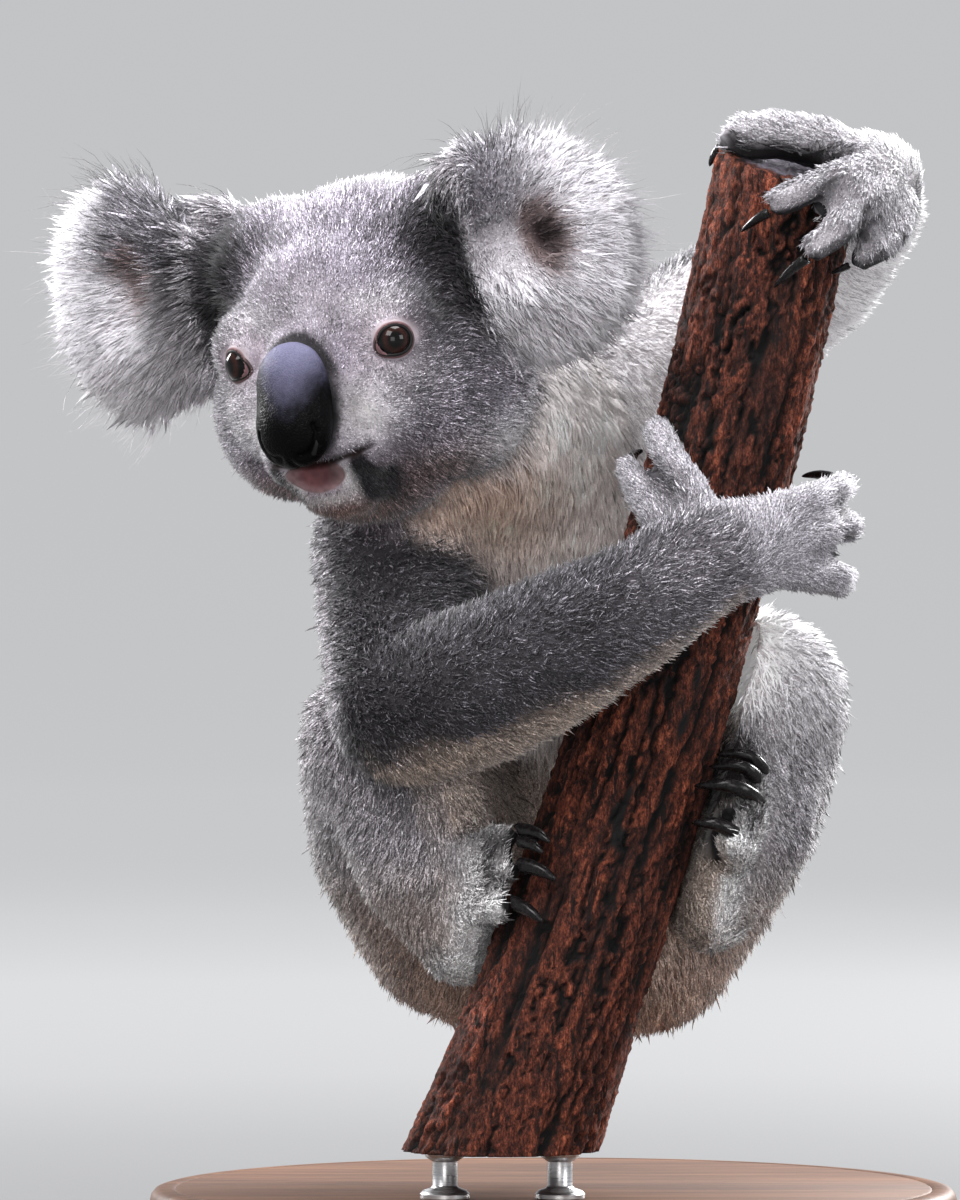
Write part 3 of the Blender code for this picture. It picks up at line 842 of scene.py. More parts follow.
# %% Bare rims, and where hair grows
eye_angle, eye_turn = lid_angle(unit(from_eye), GAZES[whose])
pair = pair + (EYES[0] - EYES[whose]) * fade(eye_reach, 14, 36)[:, None]
bare_eye = fade(eye_angle, 61, 72) * fade(eye_reach, 14, 17)
nose_faces, _ = get_triangles(nodes["nose"].data)
nose_tree = BVHTree.FromPolygons(node_points("nose").tolist(), nose_faces.tolist())
nose_gap = np.full(len(skin_points), FAR)
for index in np.flatnonzero(np.linalg.norm(here - [0, -66, -14], axis=1) < 40):
    spot = Vector(skin_points[index])
    place, facing, _, gap = nose_tree.find_nearest(spot)
    nose_gap[index] = -gap if (spot - place).dot(facing) < 0 else gap
nose_bed = fade(nose_gap, 0.9, 2.1)
mouth_drop = head_z - mouth_line(head_x)
lip_round = 1 - ((head_x + 1) / 14.2) ** 2 - ((mouth_drop + 5.2) / 6.8) ** 2
lip = ramp(lip_round, -0.05, 0.3) * (head_y < -45)
slit = bell(mouth_drop, 1.5) * fade(np.abs(head_x), 17, 25) * (head_y < -48)
bare = np.clip(np.maximum.reduce([bare_eye, nose_bed, lip, slit, pads]), 0, 1)
growth = fade(bare, 0.15, 0.6) * np.clip(openness * 1.3, 0.04 + 0.3 * on_foot, 1)
growth = growth * (1 - 0.85 * crease) * (1 - 0.75 * ramp(hollow, 0.3, 0.7))
left_leg = soft_parts(4, "thigh_left", "shank_left")
beside_trunk = fade(off_trunk, 9, 15) * ramp(skin_z, 208, 224) * left_leg
growth = np.maximum(growth, 0.7 * ramp(beside_trunk, 0.1, 0.5))
growth = np.maximum(growth, 0.8 * ear_weight * fade(hollow, 0.3, 0.8))
print("bare share", bare.mean().round(3), "mean growth", growth.mean().round(2))

# %% [markdown]
# Skin and coat share one set of markings, worked out once on the points of the skin, and each tuft
# takes the colour of the skin that it stands on. Every part has a ground colour, and soft layers lie
# over it, each where a formula of place and facing puts it: white front, cream belly and inner legs,
# warm rump and throat. Colours are linear light, not screen values.

# %% The body's markings
WHITE = (0.90, 0.88, 0.905)
PALE = (0.52, 0.49, 0.53)
CREAM = (0.58, 0.46, 0.385)
GREY = (0.21, 0.197, 0.218)
SLATE = (0.066, 0.062, 0.070)
INK = (0.018, 0.016, 0.019)
BROWN = (0.215, 0.135, 0.115)
THROAT = (0.90, 0.66, 0.54)
PINK = (0.125, 0.042, 0.046)
PART_COLOURS = {
    "head": (0.300, 0.271, 0.325),
    "ear": PALE,
    "neck": GREY,
    "chest": GREY,
    "abdomen": (0.50, 0.455, 0.455),
    "upper_arm": SLATE,
    "forearm": (0.080, 0.075, 0.085),
    "hand": (0.44, 0.42, 0.46),
    "thigh": (0.25, 0.235, 0.252),
    "shank": (0.35, 0.33, 0.355),
    "foot": (0.92, 0.90, 0.91),
}
base = averaged(for_each_point(PART_COLOURS), edges, 8)
front = ramp(-out_y + 0.5 * out_x, -0.1, 0.5)
trunk_side = ramp(facing_trunk, -0.1, 0.6)
on_body = soft_parts(6, "neck", "chest")
belly = soft_parts(6, "abdomen")
left_arm = soft_parts(4, "upper_arm_left", "forearm_left", "hand_left")
left_hand = soft_parts(2, "hand_left")
right_arm = soft_parts(4, "forearm_right")
right_upper = soft_parts(4, "upper_arm_right")
right_both = soft_parts(3, "upper_arm_right", "forearm_right")
legs = soft_parts(4, "thigh", "shank")
rump = soft_parts(4, "thigh", "abdomen") * ramp(skin_x, 28, 52) * ramp(124 - skin_z, 0, 24)
heel = soft_parts(3, "foot_left", "shank_left") * ramp(168 - skin_z, 0, 18)
throat = near(skin_points, (-42, -66, 294), (50, 50, 27))
elbow = near(skin_points, (-62, -118, 204), (34, 34, 26))
body_layers = (
    # colour, and where it lies over the layers before it
    ((0.90, 0.85, 0.84), on_body * np.maximum(front, trunk_side)),
    (CREAM, 0.8 * belly * np.maximum(trunk_side, ramp(-out_z, 0.3, 0.9))),
    (WHITE, (0.9 - 0.65 * on_paw) * left_arm * ramp(-out_y - 0.2 * out_z + 0.5 * out_x, -0.3, 0.4)),
    (WHITE, 0.95 * left_hand * ramp(skin_x + 0.6 * (skin_z - 430), 118, 150)),
    (SLATE, 0.8 * left_hand * ramp(-out_z, 0.0, 0.5)),
    (GREY, 0.8 * right_arm * ramp(skin_x, 10, 62)),
    (CREAM, 0.9 * right_arm * ramp(-out_z, 0.5, 0.9)),
    (PALE, 0.8 * right_upper * ramp(-out_x + 0.4 * out_y, 0.6, 1.0)),
    # cream-tan heel fur, made darker as painted shade where it faces the trunk
    ((0.40, 0.31, 0.25), 0.85 * heel * ramp(facing_trunk, -0.3, 0.3)),
    (CREAM, 0.75 * legs * trunk_side),
    (CREAM, 0.6 * legs * ramp(165 - skin_z, 0, 50)),
    ((0.50, 0.37, 0.30), 0.8 * rump * ramp(-out_y - out_z, 0, 0.5)),
    (THROAT, np.clip(1.3 * throat, 0, 1) * on_body),
    (INK, 0.7 * elbow * right_both * ramp(0.8 + out_z, 0, 0.5)),
    (WHITE, 0.75 * left_leg * ramp(skin_z, 165, 250) * ramp(out_x - out_y, -0.6, 0.5)),
    ((0.95, 0.93, 0.95), np.clip(1.3 * beside_trunk, 0, 1)),
)
for colour, share in body_layers:
    base = mix(base, colour, share)
print("body:", len(body_layers), "layers")

# %% [markdown]
# The head's markings are soft round spots in its own frame, most of them on both sides: a white chin
# and brows, pale rings round the eyes, dark patches before the ears and dark corners of the mouth. The
# back of the head is plain grey, dark fur borders the nose above, and painted shadow runs along its
# sides.

# %% The head's markings
HEAD_SPOTS = (
    # colour, middle and size in the head's frame, on both sides?, strength
    (WHITE, (0, -46, 24), (18, 30, 13), False, 0.2),
    (WHITE, (32, -52, 19), (17, 20, 8), True, 0.3),
    (WHITE, (24, -61, -21), (11, 20, 11), True, 0.85),
    ((0.60, 0.54, 0.60), (36, -54, 5), (14, 15, 12), True, 0.75),
    (PALE, (40, -50, -11), (15, 20, 12), True, 0.6),
    (SLATE, (60, -38, -24), (16, 22, 18), True, 0.45),
    (SLATE, (44, -50, -17), (7, 16, 6), True, 0.4),
    (SLATE, (54, -40, -6), (9, 16, 6), True, 0.4),
    (SLATE, (51, -34, 16), (15, 22, 24), True, 0.85),
    (SLATE, (32, -34, 50), (15, 16, 9), True, 0.45),
    (WHITE, (60, -16, -46), (20, 24, 12), True, 0.6),
    (WHITE, (0, -64, -53.5), (15, 14, 2.4), False, 0.9),
    (WHITE, (13.5, -61, -46), (4.5, 12, 7), True, 1.3),
    (BROWN, (0, -50, -61.5), (30, 34, 9), False, 0.95),
    (BROWN, (38, -44, -53), (21, 24, 12), True, 0.85),
    (INK, (19, -57, -44.5), (3.6, 20, 10.5), True, 2.0),
    (INK, (17, -54, -52.5), (4, 18, 6.5), True, 1.5),
    (SLATE, (46, -30, 48), (15, 22, 15), True, 0.7),
    (INK, (52, -26, 44), (17, 24, 19), True, 1.0),
    (INK, (61, -29, 24), (14, 22, 18), True, 1.0),
    (INK, (62, -33, 6), (8, 18, 12), True, 0.7),
)

for colour, middle, size, both, strength in HEAD_SPOTS:
    spot = near(pair if both else here, middle, size) * strength * (ear_weight < 0.5)
    base = mix(base, colour, np.clip(spot * 1.25, 0, 1))
on_face = soft_parts(3, "head")
behind = on_face * ramp(head_y, -12, 8) * (1 - ear_weight)
fringe_and_shadow = fade(nose_gap, 3.6, 6.6) * ramp(head_z, -14, -2)
# painted shadow: a dark band close along the nose, below the dark fur above it
fringe_and_shadow = np.maximum(fringe_and_shadow, 0.9 * fade(nose_gap, 2.0, 4.4) * ramp(head_z, -40, -30))
base = mix(base, (0.28, 0.265, 0.287), 0.85 * behind)
base = mix(base, INK, 0.97 * fringe_and_shadow)
# painted shade darkens the creases between the digits
base = mix(base, INK, 0.94 * crease)
print("head:", len(HEAD_SPOTS), "spots")

# %% [markdown]
# The ears are white along their edge below and outside, and white towards the top, partly as painted
# light from above. They are grey at the crown and the back, almost black next to the head, and brown
# in the hollow. Painted shade makes the hollow's depth black and the front's lower part grey-beige.
# The layers follow the place on the fan, from -1 to 1.

# %% The ears' markings
fan_x, fan_y, fan_z = fan_place.T
ear_front = ramp(-fan_y, -0.25, 0.15)
rim = ramp(np.hypot(fan_x, fan_z), 0.62, 0.95)
crest = ramp(-fan_x, -0.5, 0.1) * ramp(fan_z, 0.08, 0.45)
ear_layers = (
    # white fur, whiter towards the top as painted light from above
    (WHITE, 0.6 * ramp(fan_z, 0.0, 0.7)),
    ((0.80, 0.775, 0.825), ear_front * ramp(0.9 * fan_x - 0.6 * fan_z, -0.75, -0.15)),
    # painted shade: grey-beige low on the ear's front
    ((0.44, 0.415, 0.44), 0.75 * ear_front * ramp(-fan_z - 0.35 * fan_x, 0.15, 0.6)),
    (WHITE, rim * ramp(fan_x, -0.4, 0.2)),
    ((0.19, 0.178, 0.208), 0.93 * crest),
    (INK, 0.95 * near(fan_place, (-0.78, -0.3, 0.30), (0.3, 2.0, 0.55))),
    ((0.17, 0.105, 0.10), 0.85 * ramp(hollow, 0.12, 0.5)),
    # painted shade: black deep in the hollow
    ((0.028, 0.018, 0.019), ramp(hollow, 0.55, 0.95)),
)
ear_colour = PALE
for colour, share in ear_layers:
    ear_colour = mix(ear_colour, colour, share)
base = mix(base, ear_colour, ear_weight)
print("ears:", len(ear_layers), "layers")

# %% [markdown]
# No coat is of one colour throughout, and nor is skin. A lattice of random numbers, passed smoothly
# from each to the next, mottles both. It gives the same values at every run, and unlike a noise
# texture it can also move points, as it does on the bark later.

# %% Bare skin, mottling and speckle
def lattice(points, seed):
    """Smooth random values from -1 to 1 in space, with one wobble for each unit."""
    corner = np.floor(points).astype(np.int64)
    part = points - corner
    part = part * part * (3 - 2 * part)
    total = np.zeros(len(points))
    for dx in (0, 1):
        for dy in (0, 1):
            for dz in (0, 1):
                x, y, z = corner[:, 0] + dx, corner[:, 1] + dy, corner[:, 2] + dz
                mixed = (x * 73856093) ^ (y * 19349663) ^ (z * 83492791) ^ (seed * 2654435761)
                mixed = (mixed ^ (mixed >> 13)) * 1274126177 & 0x7FFFFFFF
                value = (mixed ^ (mixed >> 16)) % 65536 / 32767.5 - 1
                share = np.ones(len(points))
                for axis, step in enumerate((dx, dy, dz)):
                    share *= part[:, axis] if step else 1 - part[:, axis]
                total += share * value
    return total


lip_middle = near(here[:, [0, 2]], (-1, -42.5), (9.5, 6.5))
lip_colour = mix((0.26, 0.175, 0.18), PINK, np.clip(lip_middle * 1.45, 0, 1))
lip_colour *= (1 + 0.3 * lattice(skin_points / 1.6, 71))[:, None]
inner_corner = np.maximum(0, np.cos(eye_turn - math.pi - CORNER_TURN)) ** 9
lid_colour = mix((0.14, 0.075, 0.08), (0.36, 0.305, 0.325), ramp(eye_angle - 17 * inner_corner, 55, 62))
base = mix(base, lip_colour, ramp(lip, 0.1, 0.7))
base = mix(base, (0.03, 0.014, 0.013), slit * 0.95)
base = mix(base, lid_colour, bare_eye)
# black bare skin by the nose and on the pads, and painted shade by the foot claws and in the gap
base = mix(base, (0.009, 0.008, 0.009), np.maximum.reduce([nose_bed, pads, 0.95 * shade_by_claws]))
mottle = 1 + 0.16 * lattice(skin_points / 9, 5) + 0.12 * lattice(skin_points / 4, 6)
mottle += on_face * (0.24 * lattice(skin_points / 11, 7) + 0.2 * lattice(skin_points / 5, 8))
coat_colour = np.clip(base * mottle[:, None], 0.004, 0.94)
speckle = np.clip(1.2 - base.mean(1) * 1.25, 0.1, 1) * (1 - 0.55 * ear_weight * (1 - crest))
speckle = np.clip(speckle * (1 + 0.45 * on_face) * (1 - 0.55 * on_body), 0, 1)
speckle = np.maximum(speckle, 0.75 * on_paw)
paleness = coat_colour.mean(1)
# painted glow: a share of emission that stands in for light shining through the ears, pale fur, the white
# left arm and the white stripe beside the trunk
painted_glow = 0.15 * ear_weight * (1 - 0.8 * crest) + 0.05 * ramp(paleness, 0.3, 0.8)
painted_glow += np.clip(0.14 * left_arm + 0.22 * beside_trunk, 0, 0.2) * ramp(paleness, 0.4, 0.85)
print("mean coat colour", coat_colour.mean(0).round(3))

# %% [markdown]
# The skin needs a flat map of its own shape for the export's textures, and each tuft will take a tiny
# patch of that map at its root. A smart projection unwraps such a body without hand-placed seams.

# %% Unwrap the skin
UNWRAP_ANGLE = math.radians(72)
skin.data.uv_layers.new(name="OFBake")
edit_all(skin, bpy.ops.uv.smart_project, angle_limit=UNWRAP_ANGLE, island_margin=0.002)
flat = np.empty(len(skin.data.loops) * 2, np.float32)
skin.data.uv_layers["OFBake"].data.foreach_get("uv", flat)
corner_uv = flat.reshape(-1, 2)[loops].astype(float)
print("map spans", corner_uv.min().round(3), "to", corner_uv.max().round(3))


# %% [markdown]
# The colours go onto the mesh as a colour attribute, and bareness and moisture as plain masks. A
# material reads them by name, so one finish serves the whole skin without any painted picture.

# %% Colours and masks on a mesh
def paint(mesh, name, colours):
    layer = mesh.color_attributes.new(name, "FLOAT_COLOR", "POINT")
    rows = np.ones((len(colours), 4), np.float32)
    rows[:, :3] = colours
    layer.data.foreach_set("color", rows.ravel())


def mask(mesh, name, values):
    layer = mesh.attributes.new(name, "FLOAT", "POINT")
    layer.data.foreach_set("value", np.asarray(values, np.float32))


paint(skin.data, "tint", coat_colour)
mask(skin.data, "bare", bare)
mask(skin.data, "wet_lip", np.clip(lip * (1 - slit), 0, 1))
pick(skin)
bpy.ops.object.shade_smooth()
print("skin carries", [layer.name for layer in skin.data.attributes if not layer.name.startswith(".")])

# %% [markdown]
# A tuft is a small closed solid. The common one has four faces: a root sunk in the skin, a left and a
# right shoulder half-way along, and a tip, with the shoulders raised so that it bends over. Long ear
# hair has two rings of three points instead, and so bends twice. All tufts of a piece are computed at
# once in arrays and written as one mesh, for hair curves or instances would be lost in the export.

# %% The form of a tuft
PATCH = 0.003  # the size of a tuft's patch on the map
ROOT_DEPTH = 0.5
WIDEST = 0.09  # a tuft's width, as a share of its length
SOFT_TURN = 0.55  # how far a tuft's shading turns from the skin's, as light passes through hair
TUFT_FACES = {
    0: [(0, 1, 2), (3, 2, 1), (0, 3, 1), (0, 2, 3)],
    2: [(0, 3, 2), (0, 1, 3), (0, 2, 1)]
    + [(1 + i, 1 + (i + 1) % 3, 4 + i) for i in range(3)]
    + [(1 + (i + 1) % 3, 4 + (i + 1) % 3, 4 + i) for i in range(3)]
    + [(7, 5, 6), (7, 6, 4), (7, 4, 5)],
}
corners = [skin_points[triangles[:, i]] for i in range(3)]
triangle_area = np.linalg.norm(np.cross(corners[1] - corners[0], corners[2] - corners[0]), axis=1) / 2


def mesh_from(name, points, faces, uv, colours, facing):
    mesh = bpy.data.meshes.new(name)
    mesh.vertices.add(len(points))
    mesh.vertices.foreach_set("co", (points * MM).astype(np.float32).ravel())
    mesh.loops.add(len(faces) * 3)
    mesh.loops.foreach_set("vertex_index", faces.astype(np.int32).ravel())
    mesh.polygons.add(len(faces))
    mesh.polygons.foreach_set("loop_start", np.arange(0, len(faces) * 3, 3, dtype=np.int32))
    mesh.update(calc_edges=True)
    mesh.polygons.foreach_set("use_smooth", np.ones(len(faces), bool))
    mesh.normals_split_custom_set_from_vertices(facing.tolist())
    layer = mesh.uv_layers.new(name="OFBake")
    layer.data.foreach_set("uv", uv[faces.ravel()].astype(np.float32).ravel())
    paint(mesh, "tint", colours)
    return add_object(name, mesh)


print("tufts of", [len(faces) for faces in TUFT_FACES.values()], "faces")

# %% [markdown]
# Real hair is neither straight nor even. Tufts lean towards a leader near them, so that they form
# locks, and in speckled fur each hair is dark, plain or light, with a band of the other tone half-way
# along. Both depend on where a tuft stands, so they are functions that the growing step calls.

# %% Locks and hair colours
STRAYS = 0.045  # the share of thinner tufts that stand off from the rest
DARK_HAIRS, LIGHT_HAIRS = 0.38, 0.22  # their shares where the fur is most speckled
LIGHT_HAIR = 0.66  # the brightness of a light hair


def locks(draw, root, area, spacing):
    """The leader of each tuft: the nearest of some that are chosen at random."""
    leaders = draw.choice(len(root), max(8, int(area / spacing**2)), replace=True)
    tree = KDTree(len(leaders))
    for index, leader in enumerate(leaders):
        tree.insert(root[leader], index)
    tree.balance()
    return leaders[[tree.find(spot)[1] for spot in root]]


def hair_colours(draw, tint, specks):
    """The colours of each tuft at its root, half-way and at its tip."""
    count = len(tint)
    kind = draw.random(count)
    lightest = np.clip(LIGHT_HAIR / tint.mean(1), 1.15, 3.2)
    bright = np.where(kind > 1 - LIGHT_HAIRS * specks, lightest, 0.9)
    bright = np.where(kind < DARK_HAIRS * specks, 0.14, bright)
    bright = bright * np.exp(draw.normal(0, 1, count) * (0.06 + 0.16 * specks))
    band = np.where(draw.random(count) < 0.5, 0.45 + 0.5 * bright, np.where(bright > 1, 0.5, 1.1))
    deep = tint * (0.42 + 0.47 * (1 - specks))[:, None]
    return deep, tint * band[:, None], tint * bright[:, None] * 1.06


def turned_about(rows, axes, angles):
    """Each row turned about its own axis."""
    c, s = np.cos(angles)[:, None], np.sin(angles)[:, None]
    return rows * c + np.cross(axes, rows) * s + axes * (rows * axes).sum(1)[:, None] * (1 - c)


print("dark, light and stray hairs:", DARK_HAIRS, LIGHT_HAIRS, STRAYS)

# %% [markdown]
# Growing a piece takes five steps: plant roots at random, more of them where growth and area are
# larger; set each tuft's length, width and height over the skin; lean it along the coat's lie and
# towards its leader; keep it out of the trunk; and build its points. Every piece has a seed of its
# own, so that it grows the same each time.

# %% Grow a piece of coat
def grow(name, where, count, seed, rings=0, clump=0.35, frizz=0.3, stretch=1.0, fine=1.0, spacing=5.0):
    """A joined mesh of tufts over the part of the skin where the share is above 0."""
    draw = np.random.default_rng(seed)
    share = growth * where * (1 + 1.4 * on_paw)
    thick = (coat_width_now * coat_length_now)[triangles].mean(1) ** 0.6
    weight = triangle_area * share[triangles].mean(1) / thick
    chosen = np.searchsorted(np.cumsum(weight) / weight.sum(), draw.random(count))
    chosen = np.minimum(chosen, len(triangles) - 1)
    u, v = draw.random((2, count))
    u, v = np.where(u + v > 1, 1 - u, u), np.where(u + v > 1, 1 - v, v)
    shares = np.stack([1 - u - v, u, v], 1)
    rows = triangles[chosen]

    def at(values):
        return (values[rows] * (shares[..., None] if values.ndim > 1 else shares)).sum(1)

    root, normal, way = at(skin_points), unit(at(normals)), unit(at(lie))
    length = at(coat_length_now) * stretch * np.clip(draw.normal(1, 0.22, count), 0.45, 1.7)
    width = np.minimum(at(coat_width_now) * fine * draw.uniform(0.7, 1.25, count), WIDEST * length)
    room = np.maximum(at(coat_room_now), 0.8) * draw.uniform(0.45, 1.08, count)
    stray = draw.random(count) < STRAYS
    room[stray] *= 1.75
    width[stray] *= 0.7
    tint, specks = at(coat_colour), at(speckle)
    patch = (corner_uv[chosen] * shares[..., None]).sum(1)

    # the straight line from root to tip, lifted so that the tip reaches the coat's outside
    away = np.maximum((way * normal).sum(1), 0)
    lift = np.arcsin(np.clip(room / np.maximum(length, 0.1), 0.05, 0.85)) * (1 - away)
    ahead = way * np.cos(lift)[:, None] + normal * np.sin(lift)[:, None]
    ahead = unit(ahead + draw.normal(0, frizz * 0.33, way.shape))
    climb = np.maximum((ahead * normal).sum(1), 0.05)
    length = np.minimum(length, 1.12 * room / climb)
    tip = root + ahead * length[:, None]

    # locks, and a shade of its own for each
    area = (triangle_area * (where[triangles].mean(1) > 0.3)).sum()
    mine = locks(draw, root, area, spacing)
    apart = np.linalg.norm(root - root[mine], axis=1)
    same = root[mine] + (tip[mine] - root[mine]) * (length / length[mine])[:, None]
    tip = mix(tip, same, clump * bell(apart, 1.6 * spacing))
    tint = tint * (1 + (0.05 + 0.06 * specks) * draw.normal(size=count)[mine])[:, None]

    # out of the trunk, and bowed upwards in the middle
    inside, out = trunk_offset(tip)
    tip += out * np.clip(0.4 - inside, 0, 12)[:, None]
    chord = tip - root
    along = unit(chord)
    rise = unit(normal - along * (normal * along).sum(1)[:, None])
    rise = turned_about(rise, along, (0.28 + 0.3 * specks) * draw.normal(0, 1, count).clip(-2, 2))
    span = np.cross(rise, along)
    bow = np.linalg.norm(chord, axis=1) * draw.uniform(0.07, 0.2, count)
    root = root - normal * ROOT_DEPTH
    deep, middle, end = hair_colours(draw, tint, specks)
    points, hues, facing, offsets = [], [], [], []

    def add_point(place, hue, turn, offset):
        """One more point of every tuft, with its colour, shading and place on the patch."""
        points.append(place)
        hues.append(hue)
        facing.append(unit(normal + SOFT_TURN * turn))
        offsets.append(offset)

    add_point(root, deep, 0, (-0.5, 0))
    if rings == 0:
        mid = root + chord * 0.47 + rise * bow[:, None]
        for across in (-1, 1):
            add_point(mid + across * span * (width / 2)[:, None], middle, across * span, (0, across / 2))
    else:
        curl = draw.normal(0, 0.06, count) * length
        for place, girth, arch in ((0.3, 1.0, 0.85), (0.68, 0.78, 0.8)):
            sway = span * (curl * (1 - 2 * place))[:, None]
            mid = root + chord * place + rise * (bow * arch)[:, None] + sway
            hue = middle if place < 0.5 else (middle + end) / 2
            for turn, aside in ((0, -0.5), (2.1, 0.5), (4.2, 0)):
                spoke = turned_about(-span, along, np.full(count, -turn))
                add_point(mid + spoke * (width * girth / 2)[:, None], hue, spoke, (place - 0.5, aside))
    add_point(tip, end, along, (0.5, 0))
    size = len(points)
    faces = (np.array(TUFT_FACES[rings])[None] + (np.arange(count) * size)[:, None, None]).reshape(-1, 3)
    uv = np.clip(patch[:, None] + np.array(offsets)[None] * PATCH, 0, 1).reshape(-1, 2)
    points, hues, facing = (np.stack(rows, 1).reshape(-1, 3) for rows in (points, hues, facing))
    piece = mesh_from(name, points, faces, uv, np.clip(hues, 0.003, 0.95), facing)
    mask(piece.data, "specks", np.repeat(specks, size))
    # the share of painted glow, in place of light passing through the fur
    mask(piece.data, "through", np.repeat(at(painted_glow), size))
    print(name, count, "tufts,", len(faces), "triangles")
    return piece


# %% [markdown]
# The coat is split by body part, for no piece may grow past 200,000 triangles. The face and the crown
# are apart because the face needs smaller tufts set more densely. On the front of the ears the fluff
# keeps close to the skin, so that the fan's form shows, and long wisps stand over it.

# %% The coat's pieces
coat_length_now, coat_width_now = carried["length"], carried["width"]
coat_room_now = carried["room"] * (1 - 0.66 * ear_weight * ear_front * ramp(fan_x, -0.6, 0.0))
coat_room_now = np.maximum(coat_room_now, 2.2 * ear_weight)
in_front = ramp(-head_y, 12, 22)


def limb(side, *parts):
    return on_parts(*(part + "_" + side for part in parts))


COAT_PIECES = (
    # name, where, tufts, seed, clump, frizz, spacing
    ("coat_face", on_parts("head") * in_front, 49500, 21, 0.1, 0.85, 2.0),
    ("coat_crown", on_parts("head") * (1 - in_front), 32500, 20, 0.15, 0.85, 3.0),
    ("coat_neck_chest", on_parts("neck", "chest"), 43000, 22, 0.35, 0.6, 5),
    ("coat_abdomen", on_parts("abdomen"), 33500, 23, 0.2, 0.8, 4.5),
    ("coat_arm_right", limb("right", "upper_arm", "forearm", "hand"), 49500, 24, 0.1, 0.9, 3),
    ("coat_arm_left", limb("left", "upper_arm", "forearm", "hand"), 32000, 25, 0.15, 0.5, 3),
    ("coat_leg_right", limb("right", "thigh", "shank", "foot"), 34500, 26, 0.15, 0.8, 4),
    ("coat_leg_left", limb("left", "thigh", "shank", "foot"), 33000, 27, 0.15, 0.8, 4),
)
pieces = []
for name, where, count, seed, clump, frizz, spacing in COAT_PIECES:
    pieces.append(grow(name, where, count, seed, clump=clump, frizz=frizz, spacing=spacing))
for seed, side in ((28, "right"), (29, "left")):
    ear = on_parts("ear_" + side)
    fluff = {"clump": 0.2, "frizz": 0.75, "stretch": 0.7, "spacing": 3}
    wisps = {"rings": 2, "clump": 0.45, "frizz": 0.75, "stretch": 1.45, "fine": 0.65}
    pieces.append(grow("coat_ear_" + side, ear, 17500, seed, **fluff))
    pieces.append(grow("ear_wisps_" + side, ear, 6000, seed + 10, **wisps))
print("coat:", sum(len(piece.data.polygons) for piece in pieces), "triangles")

# %% [markdown]
# ## Materials
# Every finish is a network of nodes over a Principled shader. Such networks are long to write out, so
# each common node gets a short function. Anything that is the same all over a piece, such as sheen or
# specular level, is set on the shader itself.

# %% Tools for node materials
def new_material(name, roughness=0.6, **constants):
    made = bpy.data.materials.new(name)
    made.use_nodes = True
    shader = made.node_tree.nodes["Principled BSDF"]
    shader.inputs["Roughness"].default_value = roughness
    for key, value in constants.items():
        shader.inputs[key.replace("_", " ")].default_value = value
    return made, made.node_tree, shader


def add_node(tree, kind, **values):
    node = tree.nodes.new(kind)
    for key, value in values.items():
        setattr(node, key, value)
    return node


def attribute(tree, name, output="Fac"):
    return add_node(tree, "ShaderNodeAttribute", attribute_name=name).outputs[output]


def object_place(tree, scale=(1, 1, 1), turn=(0, 0, 0)):
    place = add_node(tree, "ShaderNodeTexCoord").outputs["Object"]
    mapping = add_node(tree, "ShaderNodeMapping")
    mapping.inputs["Scale"].default_value = scale
    mapping.inputs["Rotation"].default_value = turn
    tree.links.new(place, mapping.inputs["Vector"])
    return mapping.outputs["Vector"]


def noise(tree, vector, scale, detail=3.0, roughness=0.55):
    node = add_node(tree, "ShaderNodeTexNoise")
    node.inputs["Scale"].default_value = scale
    node.inputs["Detail"].default_value = detail
    node.inputs["Roughness"].default_value = roughness
    tree.links.new(vector, node.inputs["Vector"])
    return node.outputs["Fac"]


def colour_ramp(tree, factor, *stops):
    node = add_node(tree, "ShaderNodeValToRGB")
    elements = node.color_ramp.elements
    while len(elements) < len(stops):
        elements.new(0.5)
    for element, (place, colour) in zip(elements, stops):
        element.position = place
        element.color = (*colour, 1) if len(colour) == 3 else (colour[0],) * 3 + (1,)
    tree.links.new(factor, node.inputs["Fac"])
    return node.outputs["Color"]


def blend_colours(tree, factor, first, second, how="MIX"):
    node = add_node(tree, "ShaderNodeMix", data_type="RGBA", blend_type=how)
    for socket, value in ((0, factor), (6, first), (7, second)):
        if isinstance(value, (int, float)):
            node.inputs[socket].default_value = value
        elif isinstance(value, tuple):
            node.inputs[socket].default_value = (*value, 1)
        else:
            tree.links.new(value, node.inputs[socket])
    return node.outputs[2]


def times(tree, first, second):
    return blend_colours(tree, 1.0, first, second, "MULTIPLY")


def feed(tree, shader, **values):
    """Links each value to the shader's input of that name."""
    for key, value in values.items():
        tree.links.new(value, shader.inputs[key.replace("_", " ")])


def in_range(tree, value, low, high, new_low=0.0, new_high=1.0):
    node = add_node(tree, "ShaderNodeMapRange")
    for key, number in (("From Min", low), ("From Max", high), ("To Min", new_low), ("To Max", new_high)):
        node.inputs[key].default_value = number
    tree.links.new(value, node.inputs["Value"])
    return node.outputs["Result"]


def relief(tree, shader, height, strength, distance):
    bump = add_node(tree, "ShaderNodeBump")
    bump.inputs["Strength"].default_value = strength
    bump.inputs["Distance"].default_value = distance * MM
    tree.links.new(height, bump.inputs["Height"])
    tree.links.new(bump.outputs["Normal"], shader.inputs["Normal"])


print("tools for materials ready")

# %% [markdown]
# Fur, skin, lids and nose all vary finely in tone. That one effect is a node group, which is built
# once and reused, and changing it changes every finish. It gives out the grain's height too, for a
# relief of the same pattern.

